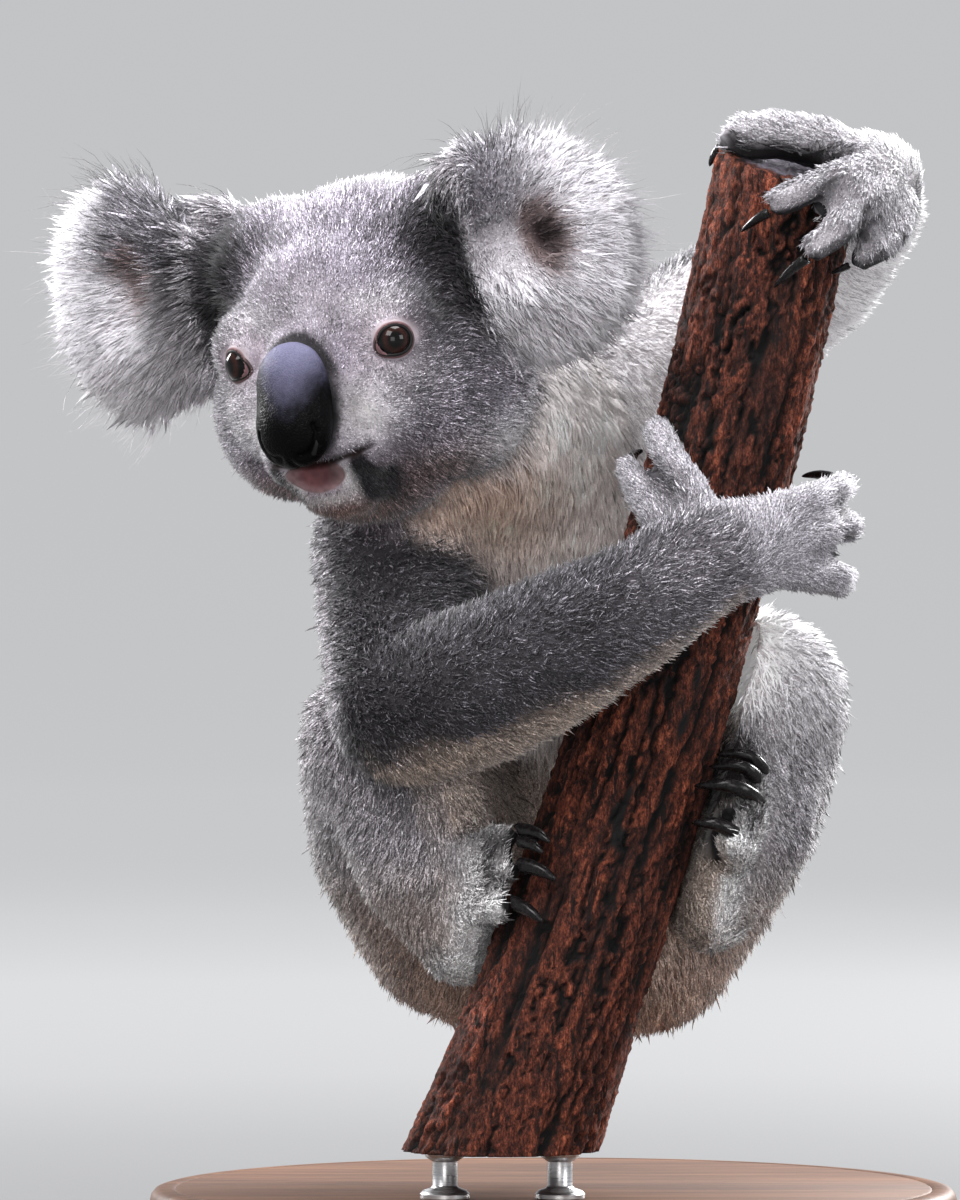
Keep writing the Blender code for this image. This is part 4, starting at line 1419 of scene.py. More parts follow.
# %% The shared grain
def group_grain():
    """A node group that multiplies a colour by a fine grain of a given scale and depth."""
    group = bpy.data.node_groups.new("grain", "ShaderNodeTree")
    for name, way, kind in (
        ("Color", "INPUT", "Color"),
        ("Scale", "INPUT", "Float"),
        ("Depth", "INPUT", "Float"),
        ("Color", "OUTPUT", "Color"),
        ("Height", "OUTPUT", "Float"),
    ):
        group.interface.new_socket(name, in_out=way, socket_type="NodeSocket" + kind)
    given = group.nodes.new("NodeGroupInput")
    result = group.nodes.new("NodeGroupOutput")
    place = add_node(group, "ShaderNodeTexCoord").outputs["Object"]
    texture = add_node(group, "ShaderNodeTexNoise")
    texture.inputs["Detail"].default_value = 4
    group.links.new(place, texture.inputs["Vector"])
    group.links.new(given.outputs["Scale"], texture.inputs["Scale"])
    centred = add_node(group, "ShaderNodeMath", operation="SUBTRACT")
    centred.inputs[1].default_value = 0.5
    group.links.new(texture.outputs["Fac"], centred.inputs[0])
    scaled = add_node(group, "ShaderNodeMath", operation="MULTIPLY_ADD")
    scaled.inputs[2].default_value = 1
    group.links.new(centred.outputs[0], scaled.inputs[0])
    group.links.new(given.outputs["Depth"], scaled.inputs[1])
    product = add_node(group, "ShaderNodeVectorMath", operation="MULTIPLY")
    group.links.new(given.outputs["Color"], product.inputs[0])
    group.links.new(scaled.outputs[0], product.inputs[1])
    group.links.new(product.outputs[0], result.inputs["Color"])
    group.links.new(texture.outputs["Fac"], result.inputs["Height"])
    return group


GRAIN = group_grain()


def with_grain(tree, colour, scale, depth):
    node = add_node(tree, "ShaderNodeGroup", node_tree=GRAIN)
    node.inputs["Scale"].default_value = scale
    node.inputs["Depth"].default_value = depth
    tree.links.new(colour, node.inputs["Color"])
    return node.outputs["Color"], node.outputs["Height"]


print("node group:", GRAIN.name)

# %% [markdown]
# A koala's wool is dull and a little sheeny. Its finish reads each tuft's tint, breaks it into light
# and dark bands where the fur is speckled, and adds a faint painted glow of the same tint, which
# stands in for light shining through white fur. The skin below is a darker undercoat where hair
# grows, leather on the pads, and moist on the lip.

# %% Coat and skin finishes
def coat_material():
    made, tree, shader = new_material("woolly_coat", 0.78, Specular_IOR_Level=0.2, Sheen_Weight=0.25)
    tint = attribute(tree, "tint", "Color")
    colour, height = with_grain(tree, tint, 1300, 0.4)
    bands = colour_ramp(tree, height, (0.40, (0.34,)), (0.50, (0.95,)), (0.62, (1.85,)))
    shade = blend_colours(tree, attribute(tree, "specks"), colour, times(tree, colour, bands))
    # painted glow: the tint shines by itself where the mask 'through' is set, in place of light passing
    # through pale fur
    glow = times(tree, tint, attribute(tree, "through"))
    feed(tree, shader, Base_Color=shade, Emission_Color=glow)
    shader.inputs["Emission Strength"].default_value = 1.0
    return made


def skin_material():
    """Undercoat where hair grows, dark leather on the pads and a moist lip."""
    made, tree, shader = new_material("skin_and_undercoat", 0.8, Specular_IOR_Level=0.2)
    tint, plain = attribute(tree, "tint", "Color"), attribute(tree, "bare")
    colour, height = with_grain(tree, tint, 1400, 1.6)
    shade = blend_colours(tree, plain, times(tree, colour, (0.8, 0.78, 0.78)), tint)
    moist = in_range(tree, attribute(tree, "wet_lip"), 0, 1, 0, 0.25)
    roughness = in_range(tree, plain, 0, 1, 0.85, 0.66)
    feed(tree, shader, Base_Color=shade, Roughness=roughness, Coat_Weight=moist)
    shader.inputs["Coat Roughness"].default_value = 0.35
    relief(tree, shader, height, 0.5, 0.5)
    return made


COAT_FINISH, SKIN_FINISH = coat_material(), skin_material()
skin.data.materials.append(SKIN_FINISH)
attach(skin, "root")
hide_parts(*FLESH)
for piece in pieces:
    piece.data.materials.append(COAT_FINISH)
    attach(piece, "root")
print("coat finish on", len(pieces), "pieces")

# %% [markdown]
# ## Eyes
# The eye is brown with a dark upright pupil and a black rim, and wholly wet. A ball is turned so that
# its pole looks along the gaze, its front is swelled into a cornea, and each point keeps its angle
# from the gaze, which the colours then follow.

# %% Eyeballs
EYE_SWELL = 0.6


def iris_material():
    wet = {"Specular_IOR_Level": 0.12, "Coat_Weight": 0.32, "Coat_Roughness": 0.02, "IOR": 1.38}
    made, tree, shader = new_material("eye", 0.12, **wet)
    streaks = colour_ramp(tree, noise(tree, object_place(tree), 1500, 3), (0.3, (0.3,)), (0.7, (1.5,)))
    base = colour_ramp(
        tree,
        attribute(tree, "from_gaze"),
        (0.0, (0.002, 0.002, 0.002)),
        (0.30, (0.003, 0.002, 0.002)),
        (0.36, (0.014, 0.005, 0.004)),
        (0.50, (0.026, 0.009, 0.006)),
        (0.60, (0.006, 0.003, 0.003)),
        (0.66, (0.0015, 0.0015, 0.0015)),
    )
    feed(tree, shader, Base_Color=blend_colours(tree, 0.5, base, streaks, "MULTIPLY"))
    return made


def eye_of(side):
    """An eye's place and gaze in the head's frame; side is 1 for the left one, -1 for the right."""
    row = 0 if side > 0 else 1
    return EYES[row] * [side, 1, 1], GAZES[row] * [side, 1, 1]


def eyeball(side):
    name = "eye_left" if side > 0 else "eye_right"
    deselect()
    bpy.ops.mesh.primitive_uv_sphere_add(segments=48, ring_count=32, radius=EYE_RADIUS * MM)
    ball = bpy.context.object
    ball.name = ball.data.name = "eyeball_" + name[4:]
    gaze = Vector(eye_of(side)[1] @ HEAD_AXES)
    ball.rotation_euler = gaze.to_track_quat("Z", "Y").to_euler()
    ball.location = node_centre(name) * MM
    local = get_points(ball.data)
    angle = np.degrees(np.arccos(np.clip(local[:, 2] / EYE_RADIUS, -1, 1)))
    off_gaze = np.hypot(local[:, 0], local[:, 1] * 0.93)
    swell = 1 + EYE_SWELL / EYE_RADIUS * np.clip(1 - (angle / 42) ** 2, 0, 1)
    set_points(ball.data, local * swell[:, None])
    mask(ball.data, "from_gaze", np.where(local[:, 2] > 0, off_gaze / EYE_RADIUS, 1))
    pick(ball)
    bpy.ops.object.transform_apply(location=True, rotation=True, scale=True)
    bpy.ops.object.shade_smooth()
    ball.data.materials.append(IRIS)
    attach(ball, "root")
    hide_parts(name)


IRIS = iris_material()
for side in (1, -1):
    eyeball(side)

print("eyeballs of", EYE_RADIUS, "mm radius")

# %% [markdown]
# An eyelid ends in a soft black margin that lies wet on the ball. The skin's own mesh is too coarse
# for such an edge, so two small rounded rings follow it: the margin, and a fleshy rim outside, pink
# below and darkened as painted shade, most above. Both run out to a point at the inner corner.

# %% Lids
def lid_material():
    made, tree, shader = new_material("eyelid", 0.5, Specular_IOR_Level=0.25, Coat_Roughness=0.3)
    colour, height = with_grain(tree, attribute(tree, "tint", "Color"), 1800, 0.5)
    feed(tree, shader, Base_Color=colour)
    relief(tree, shader, height, 0.4, 0.2)
    return made


LID_FINISH = lid_material()
LID_STEPS, LID_SIDES = 56, 12
LID_RINGS = (
    # angle open sideways and upwards, height over the ball, thickness, lower and upper colour
    (LID_WIDE + 0.5, LID_HIGH + 0.5, 0.0, 0.85, (0.006, 0.005, 0.005), (0.005, 0.004, 0.004)),
    # the fleshy rim: pink flesh below, darkened as painted shade, most under the brow above
    (LID_WIDE + 6.5, LID_HIGH + 6.5, 0.1, 0.85, (0.11, 0.058, 0.060), (0.07, 0.056, 0.06)),
)


def lid_ring(side, wide, high, over, thick, low_colour, high_colour):
    """A rounded ring that lies on the ball along the lid's edge."""
    centre, gaze = eye_of(side)
    right = unit(np.cross([0, 0, 1], gaze))
    up = np.cross(gaze, right)
    verts, colours = [], []
    for step in range(LID_STEPS):
        turn = 2 * math.pi * step / LID_STEPS
        corner_turn = math.pi + CORNER_TURN if side > 0 else -CORNER_TURN
        inner_corner = max(0.0, math.cos(turn - corner_turn)) ** 9
        opened = math.hypot(wide * math.cos(turn), high * math.sin(turn)) + 15 * inner_corner
        spread = math.radians(opened)
        spoke = right * math.cos(turn) + up * math.sin(turn)
        out = gaze * math.cos(spread) + spoke * math.sin(spread)
        inward = gaze * math.sin(spread) - spoke * math.cos(spread)
        middle = centre + out * (EYE_RADIUS + over)
        share = 0.5 + 0.5 * math.sin(turn)
        for k in range(LID_SIDES):
            a = 2 * math.pi * k / LID_SIDES
            verts.append(middle + (out * math.cos(a) * 0.8 + inward * math.sin(a)) * thick)
            colours.append(np.array(low_colour) * (1 - share) + np.array(high_colour) * share)
    faces = []
    for step in range(LID_STEPS):
        row, row_after = step * LID_SIDES, (step + 1) % LID_STEPS * LID_SIDES
        for k in range(LID_SIDES):
            after = (k + 1) % LID_SIDES
            faces.append((row + k, row + after, row_after + after, row_after + k))
    return from_head(verts), faces, colours


for side, name in ((1, "left"), (-1, "right")):
    verts, faces, colours = [], [], []
    for ring in LID_RINGS:
        points, rows, tones = lid_ring(side, *ring)
        faces += [tuple(i + len(verts) for i in row) for row in rows]
        verts += points.tolist()
        colours += tones
    mesh = bpy.data.meshes.new("lids_" + name)
    mesh.from_pydata((np.array(verts) * MM).tolist(), [], faces)
    paint(mesh, "tint", np.array(colours))
    lids = add_object("lids_" + name, mesh)
    edit_all(lids, bpy.ops.mesh.normals_make_consistent, inside=False)
    bpy.ops.object.shade_smooth()
    mesh.materials.append(LID_FINISH)
    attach(lids, "root")
print("eyes and lids made")

# %% [markdown]
# ## Nose
# The nose is one long leathery pad, with a comma of a nostril low on each side and a cleft below. The
# packed nose is wrapped finely and smoothed, then the hollows are pressed in along formulas, and a
# relief of small cells gives the leather. Its upper part is coloured pale lilac, a painted reflection
# of the sky.

# %% Nose pad
NOSE_VOXEL = 0.75
# painted reflection of the sky: the nose's pale lilac top, centred a little to the animal's left
PAINTED_SHEEN_ACROSS = 3.0  # the pale sheen on the nose lies a little to the animal's left of its middle
nose = merged_copy("nose", 0.25)
nose.name = nose.data.name = "nose_pad"
apply_modifier(nose, "REMESH", mode="VOXEL", voxel_size=NOSE_VOXEL * MM)
apply_modifier(nose, "TRIANGULATE")
nose_edges, (nose_faces, _) = get_edges(nose.data), get_triangles(nose.data)
sharp = get_points(nose.data)
spots = averaged(sharp, nose_edges, 70, 0.8)
lost = ((sharp - spots) * vertex_normals(spots, nose_faces)).sum(1)
spots += vertex_normals(spots, nose_faces) * averaged(lost, nose_edges, 160)[:, None]
nose_normals = vertex_normals(spots, nose_faces) @ HEAD_AXES.T
local = to_head(spots)
rise = np.clip((local[:, 2] + 15) / 27, 0, 1)
local[:, 0] *= np.sqrt(1 + 0.5 * rise**2)
across = np.abs(local[:, 0])
NOSTRIL = np.array([(5.2, -33.5), (8.5, -33.0), (11.5, -29.5), (12.8, -24.5), (12.2, -20.5)])
quarters = np.array([0, 0.25, 0.5, 0.75])[:, None]
steps = (NOSTRIL[:-1, None] + np.diff(NOSTRIL, axis=0)[:, None] * quarters).reshape(-1, 2)
gaps = np.hypot(across[:, None] - steps[:, 0], local[:, 2:] - steps[:, 1])
press = bell(gaps, np.linspace(1.7, 0.7, len(steps))).max(1) * (local[:, 1] < -68)
cleft = bell(local[:, 0], 1.2) * ramp(-local[:, 2], 31, 38) * (local[:, 1] < -70)
wing = bell(across - 12.0, 4.5) * bell(local[:, 2] + 33, 7) * (local[:, 1] < -66)
depth = -1.9 * press - 1.1 * cleft + 0.6 * wing
spots = from_head(local + nose_normals * depth[:, None])
spots = relaxed(spots, nose_edges, 2, np.array([[0.8]]))
set_points(nose.data, spots)
mask(nose.data, "pressed", np.clip(press + cleft, 0, 1))
# painted reflection: the mask 'crown' marks the nose's upper part, which is coloured pale lilac
mottled = local[:, 2] + 1.6 * lattice(local / 4.5, 51) + 1.6 * lattice(local / 1.8, 52)
mask(nose.data, "crown", ramp(mottled - 0.065 * (local[:, 0] - PAINTED_SHEEN_ACROSS) ** 2, -20, 8))


def nose_material():
    made, tree, shader = new_material("nose_leather", 0.42, Specular_IOR_Level=0.045)
    # painted reflection of the sky: pale lilac where the mask 'crown' is set, black below
    sheen = blend_colours(tree, attribute(tree, "crown"), (0.0013, 0.0013, 0.0016), (0.135, 0.132, 0.208))
    deep = blend_colours(tree, attribute(tree, "pressed"), sheen, (0.0012, 0.0012, 0.0012))
    colour, fine = with_grain(tree, deep, 1500, 0.7)
    cells = add_node(tree, "ShaderNodeTexVoronoi", feature="DISTANCE_TO_EDGE")
    cells.inputs["Scale"].default_value = 850
    tree.links.new(object_place(tree), cells.inputs["Vector"])
    feed(tree, shader, Base_Color=colour, Roughness=in_range(tree, fine, 0.3, 0.7, 0.26, 0.46))
    relief(tree, shader, in_range(tree, cells.outputs["Distance"], 0, 0.2), 0.5, 0.25)
    return made


nose.data.materials.clear()
nose.data.materials.append(nose_material())
pick(nose)
bpy.ops.object.shade_smooth()
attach(nose, "root")
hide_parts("nose")
print("nose pad:", len(nose_faces), "triangles")

# %% [markdown]
# ## Claws
# A koala's claws are long, narrow and black, with a gloss like polished horn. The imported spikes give
# their place and bend. A subdivision surface rounds them but draws the point back, so each claw is
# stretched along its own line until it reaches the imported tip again.

# %% Claws
def claw_material():
    gloss = {"Specular_IOR_Level": 0.2, "Coat_Weight": 0.06, "Coat_Roughness": 0.1}
    made, tree, shader = new_material("claw_horn", 0.2, **gloss)
    streak = noise(tree, object_place(tree), 700, 3)
    colour = colour_ramp(tree, streak, (0.35, (0.004, 0.0035, 0.004)), (0.75, (0.014, 0.012, 0.012)))
    feed(tree, shader, Base_Color=colour, Roughness=in_range(tree, streak, 0.3, 0.7, 0.16, 0.34))
    return made


CLAW_FINISH = claw_material()
CLAW_GROWTH = {"hand": 0.9, "foot": 1.7}  # millimetres, so that rounding doesn't thin them


def rounded_claw(name):
    claw = merged_copy(name, CLAW_GROWTH[name[5:9]])
    claw.name = claw.data.name = "horn" + name[4:]
    sharp = get_points(claw.data)
    start = claw_root(name, sharp)
    tip = sharp[np.linalg.norm(sharp - start, axis=1).argmax()]
    apply_modifier(claw, "SUBSURF", levels=2, render_levels=2)
    line = unit(tip - start)
    full = (tip - start) @ line
    points = get_points(claw.data)
    along = (points - start) @ line
    share = np.clip(along / along.max(), 0, 1)
    points += line * (share**2 * (full - along.max()))[:, None]
    set_points(claw.data, points)
    claw.data.materials.clear()
    claw.data.materials.append(CLAW_FINISH)
    pick(claw)
    bpy.ops.object.shade_smooth()
    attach(claw, "root")
    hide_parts(name)
    return claw


claws = [rounded_claw(name) for name in CLAWS]
print(len(claws), "claws")

# %% [markdown]
# ## The trunk
# The perch is a length of red-brown fibrous bark. Black cracks run up it, plates stand proud between
# them, some stretches are blackened by fire, and one more under the forearm as painted shadow.
# A flat grid is rolled round the fitted axis, its first and last rows folded in over the sawn ends,
# and the bark is raised on it by stretched noise.

# %% Roll the grid into a trunk
TRUNK_SIDES, TRUNK_ROWS = 200, 360
END_ROWS = 14  # at either end, folded in over the sawn face
ALL_ROWS = TRUNK_ROWS + 2 * END_ROWS

deselect()
bpy.ops.mesh.primitive_grid_add(x_subdivisions=TRUNK_SIDES, y_subdivisions=ALL_ROWS, size=1)
trunk = bpy.context.object
trunk.name = trunk.data.name = "trunk"
sheet = get_points(trunk.data) * MM + 0.5
turn = sheet[:, 0] * 2 * math.pi
row = sheet[:, 1] * ALL_ROWS
up = np.clip((row - END_ROWS) / TRUNK_ROWS, 0, 1)
inset = np.clip(np.maximum(END_ROWS - row, row - END_ROWS - TRUNK_ROWS) / END_ROWS, 0, 1)
shrink = 1 - inset
top_end = row > END_ROWS + TRUNK_ROWS
height = TRUNK_LOW + (TRUNK_TOP - TRUNK_LOW) * up
radius = np.polyval(girth_curve, height)
round_place = np.stack([np.cos(turn) * radius, np.sin(turn) * radius, height], 1)


def uneven(seed, *size):
    """Random values over the trunk, with wobbles of a size in millimetres."""
    return lattice(round_place / size, seed)


ragged = 0.38 * uneven(29, 3.4, 3.4, 6) + 0.24 * uneven(30, 1.9, 1.9, 2.8)
warp = 0.7 * uneven(31, 26, 26, 60) + ragged
wide = lattice(round_place / [5.6, 5.6, 80] + warp[:, None], 32)
narrow = lattice(round_place / [2.7, 2.7, 14] + 1.4 * warp[:, None], 33)
crack = bell(wide, 0.2) * ramp(uneven(34, 13, 13, 40), -0.8, -0.1)
fine_crack = bell(narrow, 0.15) * ramp(uneven(35, 8, 8, 18), -0.5, 0.2)
plates = uneven(36, 4.2, 4.2, 9) + 0.7 * uneven(37, 2.1, 2.1, 3.6)
rough = uneven(38, 1.6) + 0.8 * uneven(39, 1.2, 1.2, 2.2)
bark = 0.45 * plates + 0.5 * rough - 3.0 * crack - 1.3 * fine_crack + 0.5 * wide
edge_wear = ramp(height, TRUNK_TOP - 5, TRUNK_TOP) * (0.8 + 0.9 * uneven(40, 6, 6, 9))
bark_share = np.where(inset > 0, np.clip(1 - inset * 4, 0, 1), 1)
full = radius - 1.0 + (bark - 0.4) * bark_share - edge_wear * 1.4
leaned = np.where(top_end, shrink, 1)
height = height - TOP_TILT * up**12 * full * np.cos(turn) * leaned
height = height - TOP_FACE * up**12 * full * np.clip(-np.sin(turn) * leaned, 0, 1)
flat_place = round_place * shrink[:, None]
saw_marks = 0.35 * lattice(flat_place / [3, 3, 1], 41) + 0.5 * lattice(flat_place / [11, 11, 1], 42)
height = height + np.where(top_end & (inset > 0.1), saw_marks, 0)
height = height - edge_wear * 0.8 * (uneven(43, 3) > 0)
across = full * shrink
around_x = np.polyval(axis_curve, height) + np.cos(turn) * across
around_y = TRUNK_Y + np.sin(turn) * across
set_points(trunk.data, np.stack([around_x, around_y, height], 1))
print("bark from", bark.min().round(1), "to", bark.max().round(1), "mm")

# %% [markdown]
# The colours must sit exactly where the relief is, so the values that shaped the bark are stored on
# its points as masks. Two patches are blackened, one as char and one as painted shadow under the
# forearm, and noise breaks up their edges. Welding then closes the rolled grid's seam.

# %% Masks for cracks, char and sawn wood
CHAR_AND_SHADOW_PATCHES = (
    # degrees round the trunk, height, width and height of the patch, strength
    (268, 166, (9, 26), 0.72),
    # painted shadow of the forearm, just under it, darkened like char
    (285, 215, (30, 24), 0.5),
)
char_and_shadow = 0.38 * uneven(44, 20, 20, 55) + 0.5 * uneven(45, 3.4, 3.4, 9)
for degrees, level, size, strength in CHAR_AND_SHADOW_PATCHES:
    unrolled = np.stack([(turn - math.radians(degrees)) * radius, height], 1)
    char_and_shadow += strength * near(unrolled, (0, level), size)
char_and_shadow = ramp(char_and_shadow, 0.5, 0.9)
mask(trunk.data, "crack", np.clip(1.1 * crack + 0.75 * fine_crack - 0.12 * plates, 0, 1) * (inset < 0.3))
mask(trunk.data, "char_and_shadow", char_and_shadow * (inset < 0.3))
mask(trunk.data, "proud", ramp(bark, -0.8, 1.5))
mask(trunk.data, "sawn", ramp(inset, 0.12, 0.3))
mask(trunk.data, "low", ramp(-height, -350, -110))
apply_modifier(trunk, "WELD", merge_threshold=0.00002)
edit_all(trunk, bpy.ops.mesh.normals_make_consistent, inside=False)
bpy.ops.object.shade_smooth()
print("trunk:", len(trunk.data.polygons), "faces")

# %% [markdown]
# Bark of this kind is fibrous: red-brown strands with near-black slits between them, lilac-grey wood
# on the sawn end and soot where fire has blackened it. Noise drawn out along the trunk gives strands
# and slits, and the masks from the grid lay cracks, char, painted shadow and sawn wood over them.
# Sunken bark takes a darker copy of the colour as painted shade.

# %% Bark and sawn wood
ALONG_BARK = (0, math.radians(-17), 0)  # the trunk's own lean, which its grain follows


def bark_material():
    made, tree, shader = new_material("red_bark", 0.85, Specular_IOR_Level=0.3)
    streaks = noise(tree, object_place(tree, (1, 1, 0.36), ALONG_BARK), 620, 8, 0.78)
    tones = colour_ramp(
        tree,
        streaks,
        (0.38, (0.004, 0.0025, 0.0025)),
        (0.45, (0.075, 0.018, 0.011)),
        (0.54, (0.28, 0.070, 0.035)),
        (0.68, (0.60, 0.205, 0.115)),
    )
    patches = noise(tree, object_place(tree, (1, 1, 0.45)), 45, 4)
    patchy = colour_ramp(tree, patches, (0.32, (0.45, 0.42, 0.45)), (0.62, (1.15, 1.1, 1.05)))
    slits = noise(tree, object_place(tree, (1, 1, 0.12), ALONG_BARK), 300, 5, 0.68)
    slit_share = in_range(tree, slits, 0.445, 0.39)
    toned = blend_colours(tree, slit_share, times(tree, tones, patchy), (0.004, 0.003, 0.003))
    # painted shade: the sunken bark takes a darker copy of the toned colour, the raised bark keeps it
    sunk = blend_colours(tree, 0.55, toned, (0.02, 0.009, 0.007))
    lit = blend_colours(tree, attribute(tree, "proud"), sunk, toned)
    fibres = noise(tree, object_place(tree, (1, 1, 0.3), ALONG_BARK), 2200, 5, 0.7)
    lit = times(tree, lit, colour_ramp(tree, fibres, (0.36, (0.35,)), (0.5, (1.0,)), (0.66, (1.8,))))
    lit = blend_colours(tree, attribute(tree, "low"), lit, times(tree, lit, (1.15, 1.1, 1.05)))
    # char, and painted shadow under the forearm, both near black
    char_and_shadow_tone = blend_colours(tree, attribute(tree, "char_and_shadow"), lit, (0.009, 0.0075, 0.0075))
    cracked = blend_colours(tree, attribute(tree, "crack"), char_and_shadow_tone, (0.0035, 0.003, 0.003))
    rings = noise(tree, object_place(tree), 260, 4)
    wood = colour_ramp(tree, rings, (0.3, (0.10, 0.09, 0.11)), (0.7, (0.34, 0.31, 0.37)))
    shade = blend_colours(tree, attribute(tree, "sawn"), cracked, wood)
    roughness = in_range(tree, attribute(tree, "char_and_shadow"), 0, 1, 0.9, 0.82)
    feed(tree, shader, Base_Color=shade, Roughness=roughness)
    height = blend_colours(tree, 0.35, blend_colours(tree, 0.4, streaks, slits), fibres)
    relief(tree, shader, height, 1.0, 2.8)
    return made


trunk.data.materials.append(bark_material())
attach(trunk, "root")
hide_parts("perch")
print("bark finish:", len(trunk.data.materials[0].node_tree.nodes), "nodes")

# %% [markdown]
# ## The stand
# The stand is a plain round plinth of stained wood and two steel posts, as a museum would use. The
# plinth's outline is spun about its axis, as on a lathe: a rounded rim above and one shallow groove.

# %% Plinth
PLINTH_SIDES = 160
base_low, base_high = (Vector(v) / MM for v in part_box("stand_base"))
PLINTH_RADIUS = (base_high.x - base_low.x) / 2
PLINTH_PROFILE = (
    # radius less than the full one, height
    (PLINTH_RADIUS, 0.0),
    (2.5, 0.0),
    (0.6, 0.6),
    (0.0, 2.0),
    (0.0, base_high.z - 5.0),
    (0.6, base_high.z - 2.6),
    (2.2, base_high.z - 0.8),
    (4.6, base_high.z - 0.1),
    (9.0, base_high.z),
    (10.2, base_high.z - 0.7),
    (11.4, base_high.z),
    (PLINTH_RADIUS, base_high.z),
)


SHARP_ANGLE = math.radians(40)


def turned_piece(name, profile, centre, sides):
    """A closed body of revolution; the profile runs from the axis below to the axis above."""
    deselect()
    bm = bmesh.new()
    verts = [bm.verts.new(((centre[0] + r) * MM, centre[1] * MM, z * MM)) for r, z in profile]
    edges_made = [bm.edges.new(pair) for pair in zip(verts, verts[1:])]
    bmesh.ops.spin(
        bm,
        geom=verts + edges_made,
        cent=(centre[0] * MM, centre[1] * MM, 0),
        axis=(0, 0, 1),
        angle=2 * math.pi,
        steps=sides,
    )
    bmesh.ops.remove_doubles(bm, verts=bm.verts, dist=WELD)
    bmesh.ops.recalc_face_normals(bm, faces=bm.faces)
    mesh = bpy.data.meshes.new(name)
    bm.to_mesh(mesh)
    bm.free()
    obj = add_object(name, mesh)
    pick(obj)
    bpy.ops.object.shade_smooth_by_angle(angle=SHARP_ANGLE)
    return obj


ALONG_BOARD = (0, 0, math.radians(8))


def plinth_material():
    varnish = {"Specular_IOR_Level": 0.2, "Coat_Weight": 0.06, "Coat_Roughness": 0.35}
    made, tree, shader = new_material("stained_wood", 0.5, **varnish)
    waver = noise(tree, object_place(tree, (0.35, 3.2, 3.2), ALONG_BOARD), 9, 4, 0.6)
    figure = noise(tree, object_place(tree, (0.5, 7, 7), ALONG_BOARD), 16, 6, 0.62)
    pores = noise(tree, object_place(tree, (6, 120, 60), ALONG_BOARD), 14, 3)
    wood = colour_ramp(
        tree,
        blend_colours(tree, 0.4, figure, waver),
        (0.36, (0.045, 0.019, 0.010)),
        (0.5, (0.085, 0.038, 0.019)),
        (0.64, (0.135, 0.064, 0.033)),
    )
    dark = blend_colours(tree, in_range(tree, pores, 0.62, 0.72), wood, (0.03, 0.013, 0.007))
    feed(tree, shader, Base_Color=dark, Roughness=in_range(tree, pores, 0.4, 0.75, 0.46, 0.6))
    relief(tree, shader, pores, 0.12, 0.3)
    return made


base_middle = (base_low + base_high) / 2
plinth_profile = [(PLINTH_RADIUS - inset, z) for inset, z in PLINTH_PROFILE]
plinth = turned_piece("stand_plinth", plinth_profile, base_middle, PLINTH_SIDES)
plinth.data.materials.append(plinth_material())
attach(plinth, "root")
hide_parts("stand_base")
print("plinth radius", round(PLINTH_RADIUS, 1), "mm")

# %% [markdown]
# Two slim steel posts carry the trunk. They are turned as well: a collar at the foot, a plain shaft,
# and a small flange under the wood. Brushed steel is a bright metal whose tone and roughness vary in
# fine rings.

# %% Posts
def post_material():
    made, tree, shader = new_material("brushed_steel", 0.3, Metallic=1.0)
    brushed = noise(tree, object_place(tree, (1, 1, 40)), 60, 3)
    colour = colour_ramp(tree, brushed, (0.3, (0.42, 0.42, 0.43)), (0.7, (0.58, 0.58, 0.585)))
    feed(tree, shader, Base_Color=colour, Roughness=in_range(tree, brushed, 0.3, 0.7, 0.24, 0.4))
    return made


STEEL = post_material()
POST_SIDES = 40
for side in ("left", "right"):
    low, high = (Vector(v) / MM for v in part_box("stand_rod_" + side))
    collar = (high.x - low.x) / 2
    rod = collar / 2
    profile = (
        (0, low.z),
        (collar - 0.6, low.z),
        (collar, low.z + 0.6),
        (collar, low.z + 2.2),
        (collar - 1.2, low.z + 3.6),
        (rod + 0.8, low.z + 4.6),
        (rod, low.z + 5.6),
        (rod, high.z - 4.2),
        (rod + 2.6, high.z - 2.4),
        (rod + 3.0, high.z - 1.8),
        (rod + 3.0, high.z),
        (0, high.z),
    )
    post = turned_piece("stand_post_" + side, profile, (low + high) / 2, POST_SIDES)
    post.data.materials.append(STEEL)
    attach(post, "root")
    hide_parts("stand_rod_" + side)
print("posts' radius", round(rod, 1), "mm")

# %% [markdown]
# ## The room
# The floor is one wide pale bowl: flat under the stand, and rising smoothly far away on every side, so
# that no horizon line shows from any angle. It glows a little, more so far away, which keeps it even
# where the lamps don't reach.

# %% Floor
FLOOR_FLAT, WALL_BEND = 7000.0, 2500.0  # how far the floor is flat, and the radius of its rise
GLOW_REACH = 3.0  # metres from the middle, where the floor's own glow is full
BOWL_PROFILE = [(0.0, 0.0), (FLOOR_FLAT, 0.0)]
for step in range(1, 13):
    bend = math.radians(90) * step / 12
    BOWL_PROFILE.append((FLOOR_FLAT + WALL_BEND * math.sin(bend), WALL_BEND * (1 - math.cos(bend))))
floor = turned_piece("floor", BOWL_PROFILE, (0, 0), 96)
edit_all(floor, bpy.ops.mesh.flip_normals)
bpy.ops.object.shade_smooth()
floor_finish, floor_tree, floor_shader = new_material("pale_floor", 0.7, Specular_IOR_Level=0.2)
reach = add_node(floor_tree, "ShaderNodeVectorMath", operation="LENGTH")
floor_tree.links.new(object_place(floor_tree, (1, 1, 0)), reach.inputs[0])
far = in_range(floor_tree, reach.outputs["Value"], 0, GLOW_REACH)
glow = colour_ramp(
    floor_tree,
    far,
    (0.0, (0.12, 0.121, 0.124)),
    (0.17, (0.20, 0.202, 0.206)),
    (0.33, (0.32, 0.323, 0.33)),
    (0.66, (0.45, 0.455, 0.464)),
    (1.0, (0.50, 0.505, 0.515)),
)
feed(floor_tree, floor_shader, Emission_Color=glow)
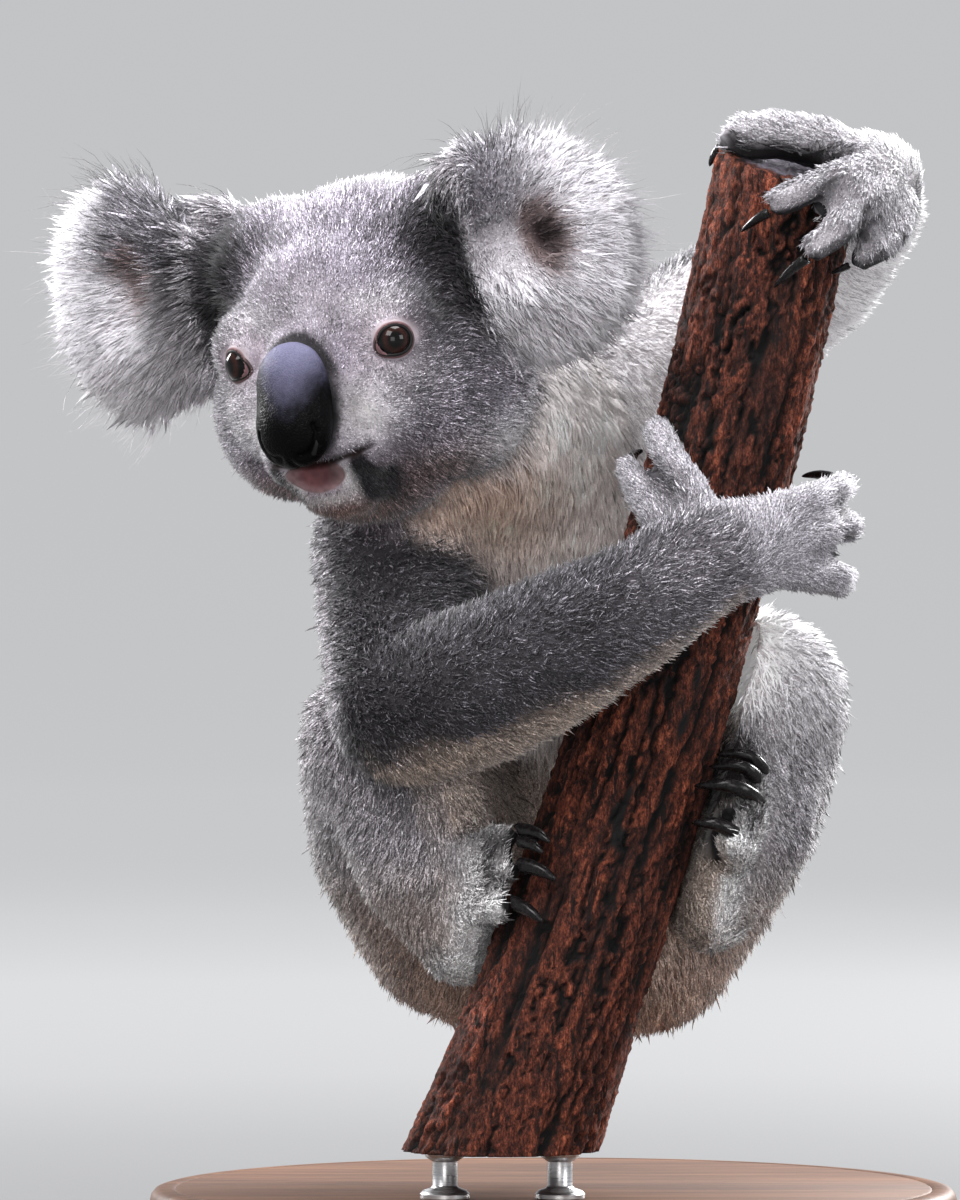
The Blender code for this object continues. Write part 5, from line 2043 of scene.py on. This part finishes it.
floor_shader.inputs["Base Color"].default_value = (0.06, 0.06, 0.061, 1)
floor_shader.inputs["Emission Strength"].default_value = 1.0
floor.data.materials.append(floor_finish)
print("floor flat for", FLOOR_FLAT / 1000, "m")

# %% [markdown]
# Soft light shows fur best, for hard light draws a shadow behind every tuft. A large key lamp stands
# high to the front left, one hangs overhead, two weak ones fill the front, and two behind the animal
# edge its coat with light. A pale sky fills the rest.

# %% Lamps and sky
LAMPS_FACE = Vector((0, -0.03, 0.28))


def lamp(name, place, size, power, tint=(1, 1, 1)):
    """A square soft lamp that faces the animal."""
    light = bpy.data.lights.new(name, "AREA")
    light.size = size
    light.energy = power
    light.color = tint
    obj = add_object(name, light)
    obj.location = place
    obj.rotation_euler = (LAMPS_FACE - obj.location).to_track_quat("-Z", "Y").to_euler()


lamp("key", (-1.4, -1.9, 2.4), 1.6, 90, (1, 0.985, 0.985))
lamp("overhead", (0.1, 0.1, 2.5), 1.3, 72, (0.98, 0.98, 1))
lamp("fill", (3.1, -2.5, 1.6), 1.6, 60, (0.98, 0.98, 1))
lamp("low_front", (-0.3, -3.3, 0.75), 1.4, 24, (1, 0.97, 0.95))
lamp("rim_right", (1.5, 1.7, 1.5), 0.9, 215)
lamp("rim_left", (-1.9, 1.5, 1.3), 0.9, 100)
sky = bpy.data.worlds.new("sky")
bpy.context.scene.world = sky
sky.use_nodes = True
sky.node_tree.nodes["Background"].inputs["Color"].default_value = (0.88, 0.9, 0.95, 1)
sky.node_tree.nodes["Background"].inputs["Strength"].default_value = 0.56
bpy.context.scene.view_settings.view_transform = "Standard"

# %% [markdown]
# A long lens from three metres away keeps the animal's proportions, as a portrait lens does. The
# camera looks level at the middle of the model, and everything is in focus.

# %% Camera
CAMERA_PLACE = (-0.030, -3.07, 0.256)
CAMERA_LENS = 225
camera = bpy.data.cameras.new("camera")
camera.lens = CAMERA_LENS
camera.sensor_width = 36
camera.dof.use_dof = False
viewer = add_object("camera", camera)
viewer.location = CAMERA_PLACE
viewer.rotation_euler = (math.radians(90), 0, 0)
bpy.context.scene.camera = viewer
print("camera:", CAMERA_LENS, "mm lens at", CAMERA_PLACE)

# %% [markdown]
# Last, the selection is cleared and the scene brought up to date.

# %% The end
deselect()
bpy.context.view_layer.update()
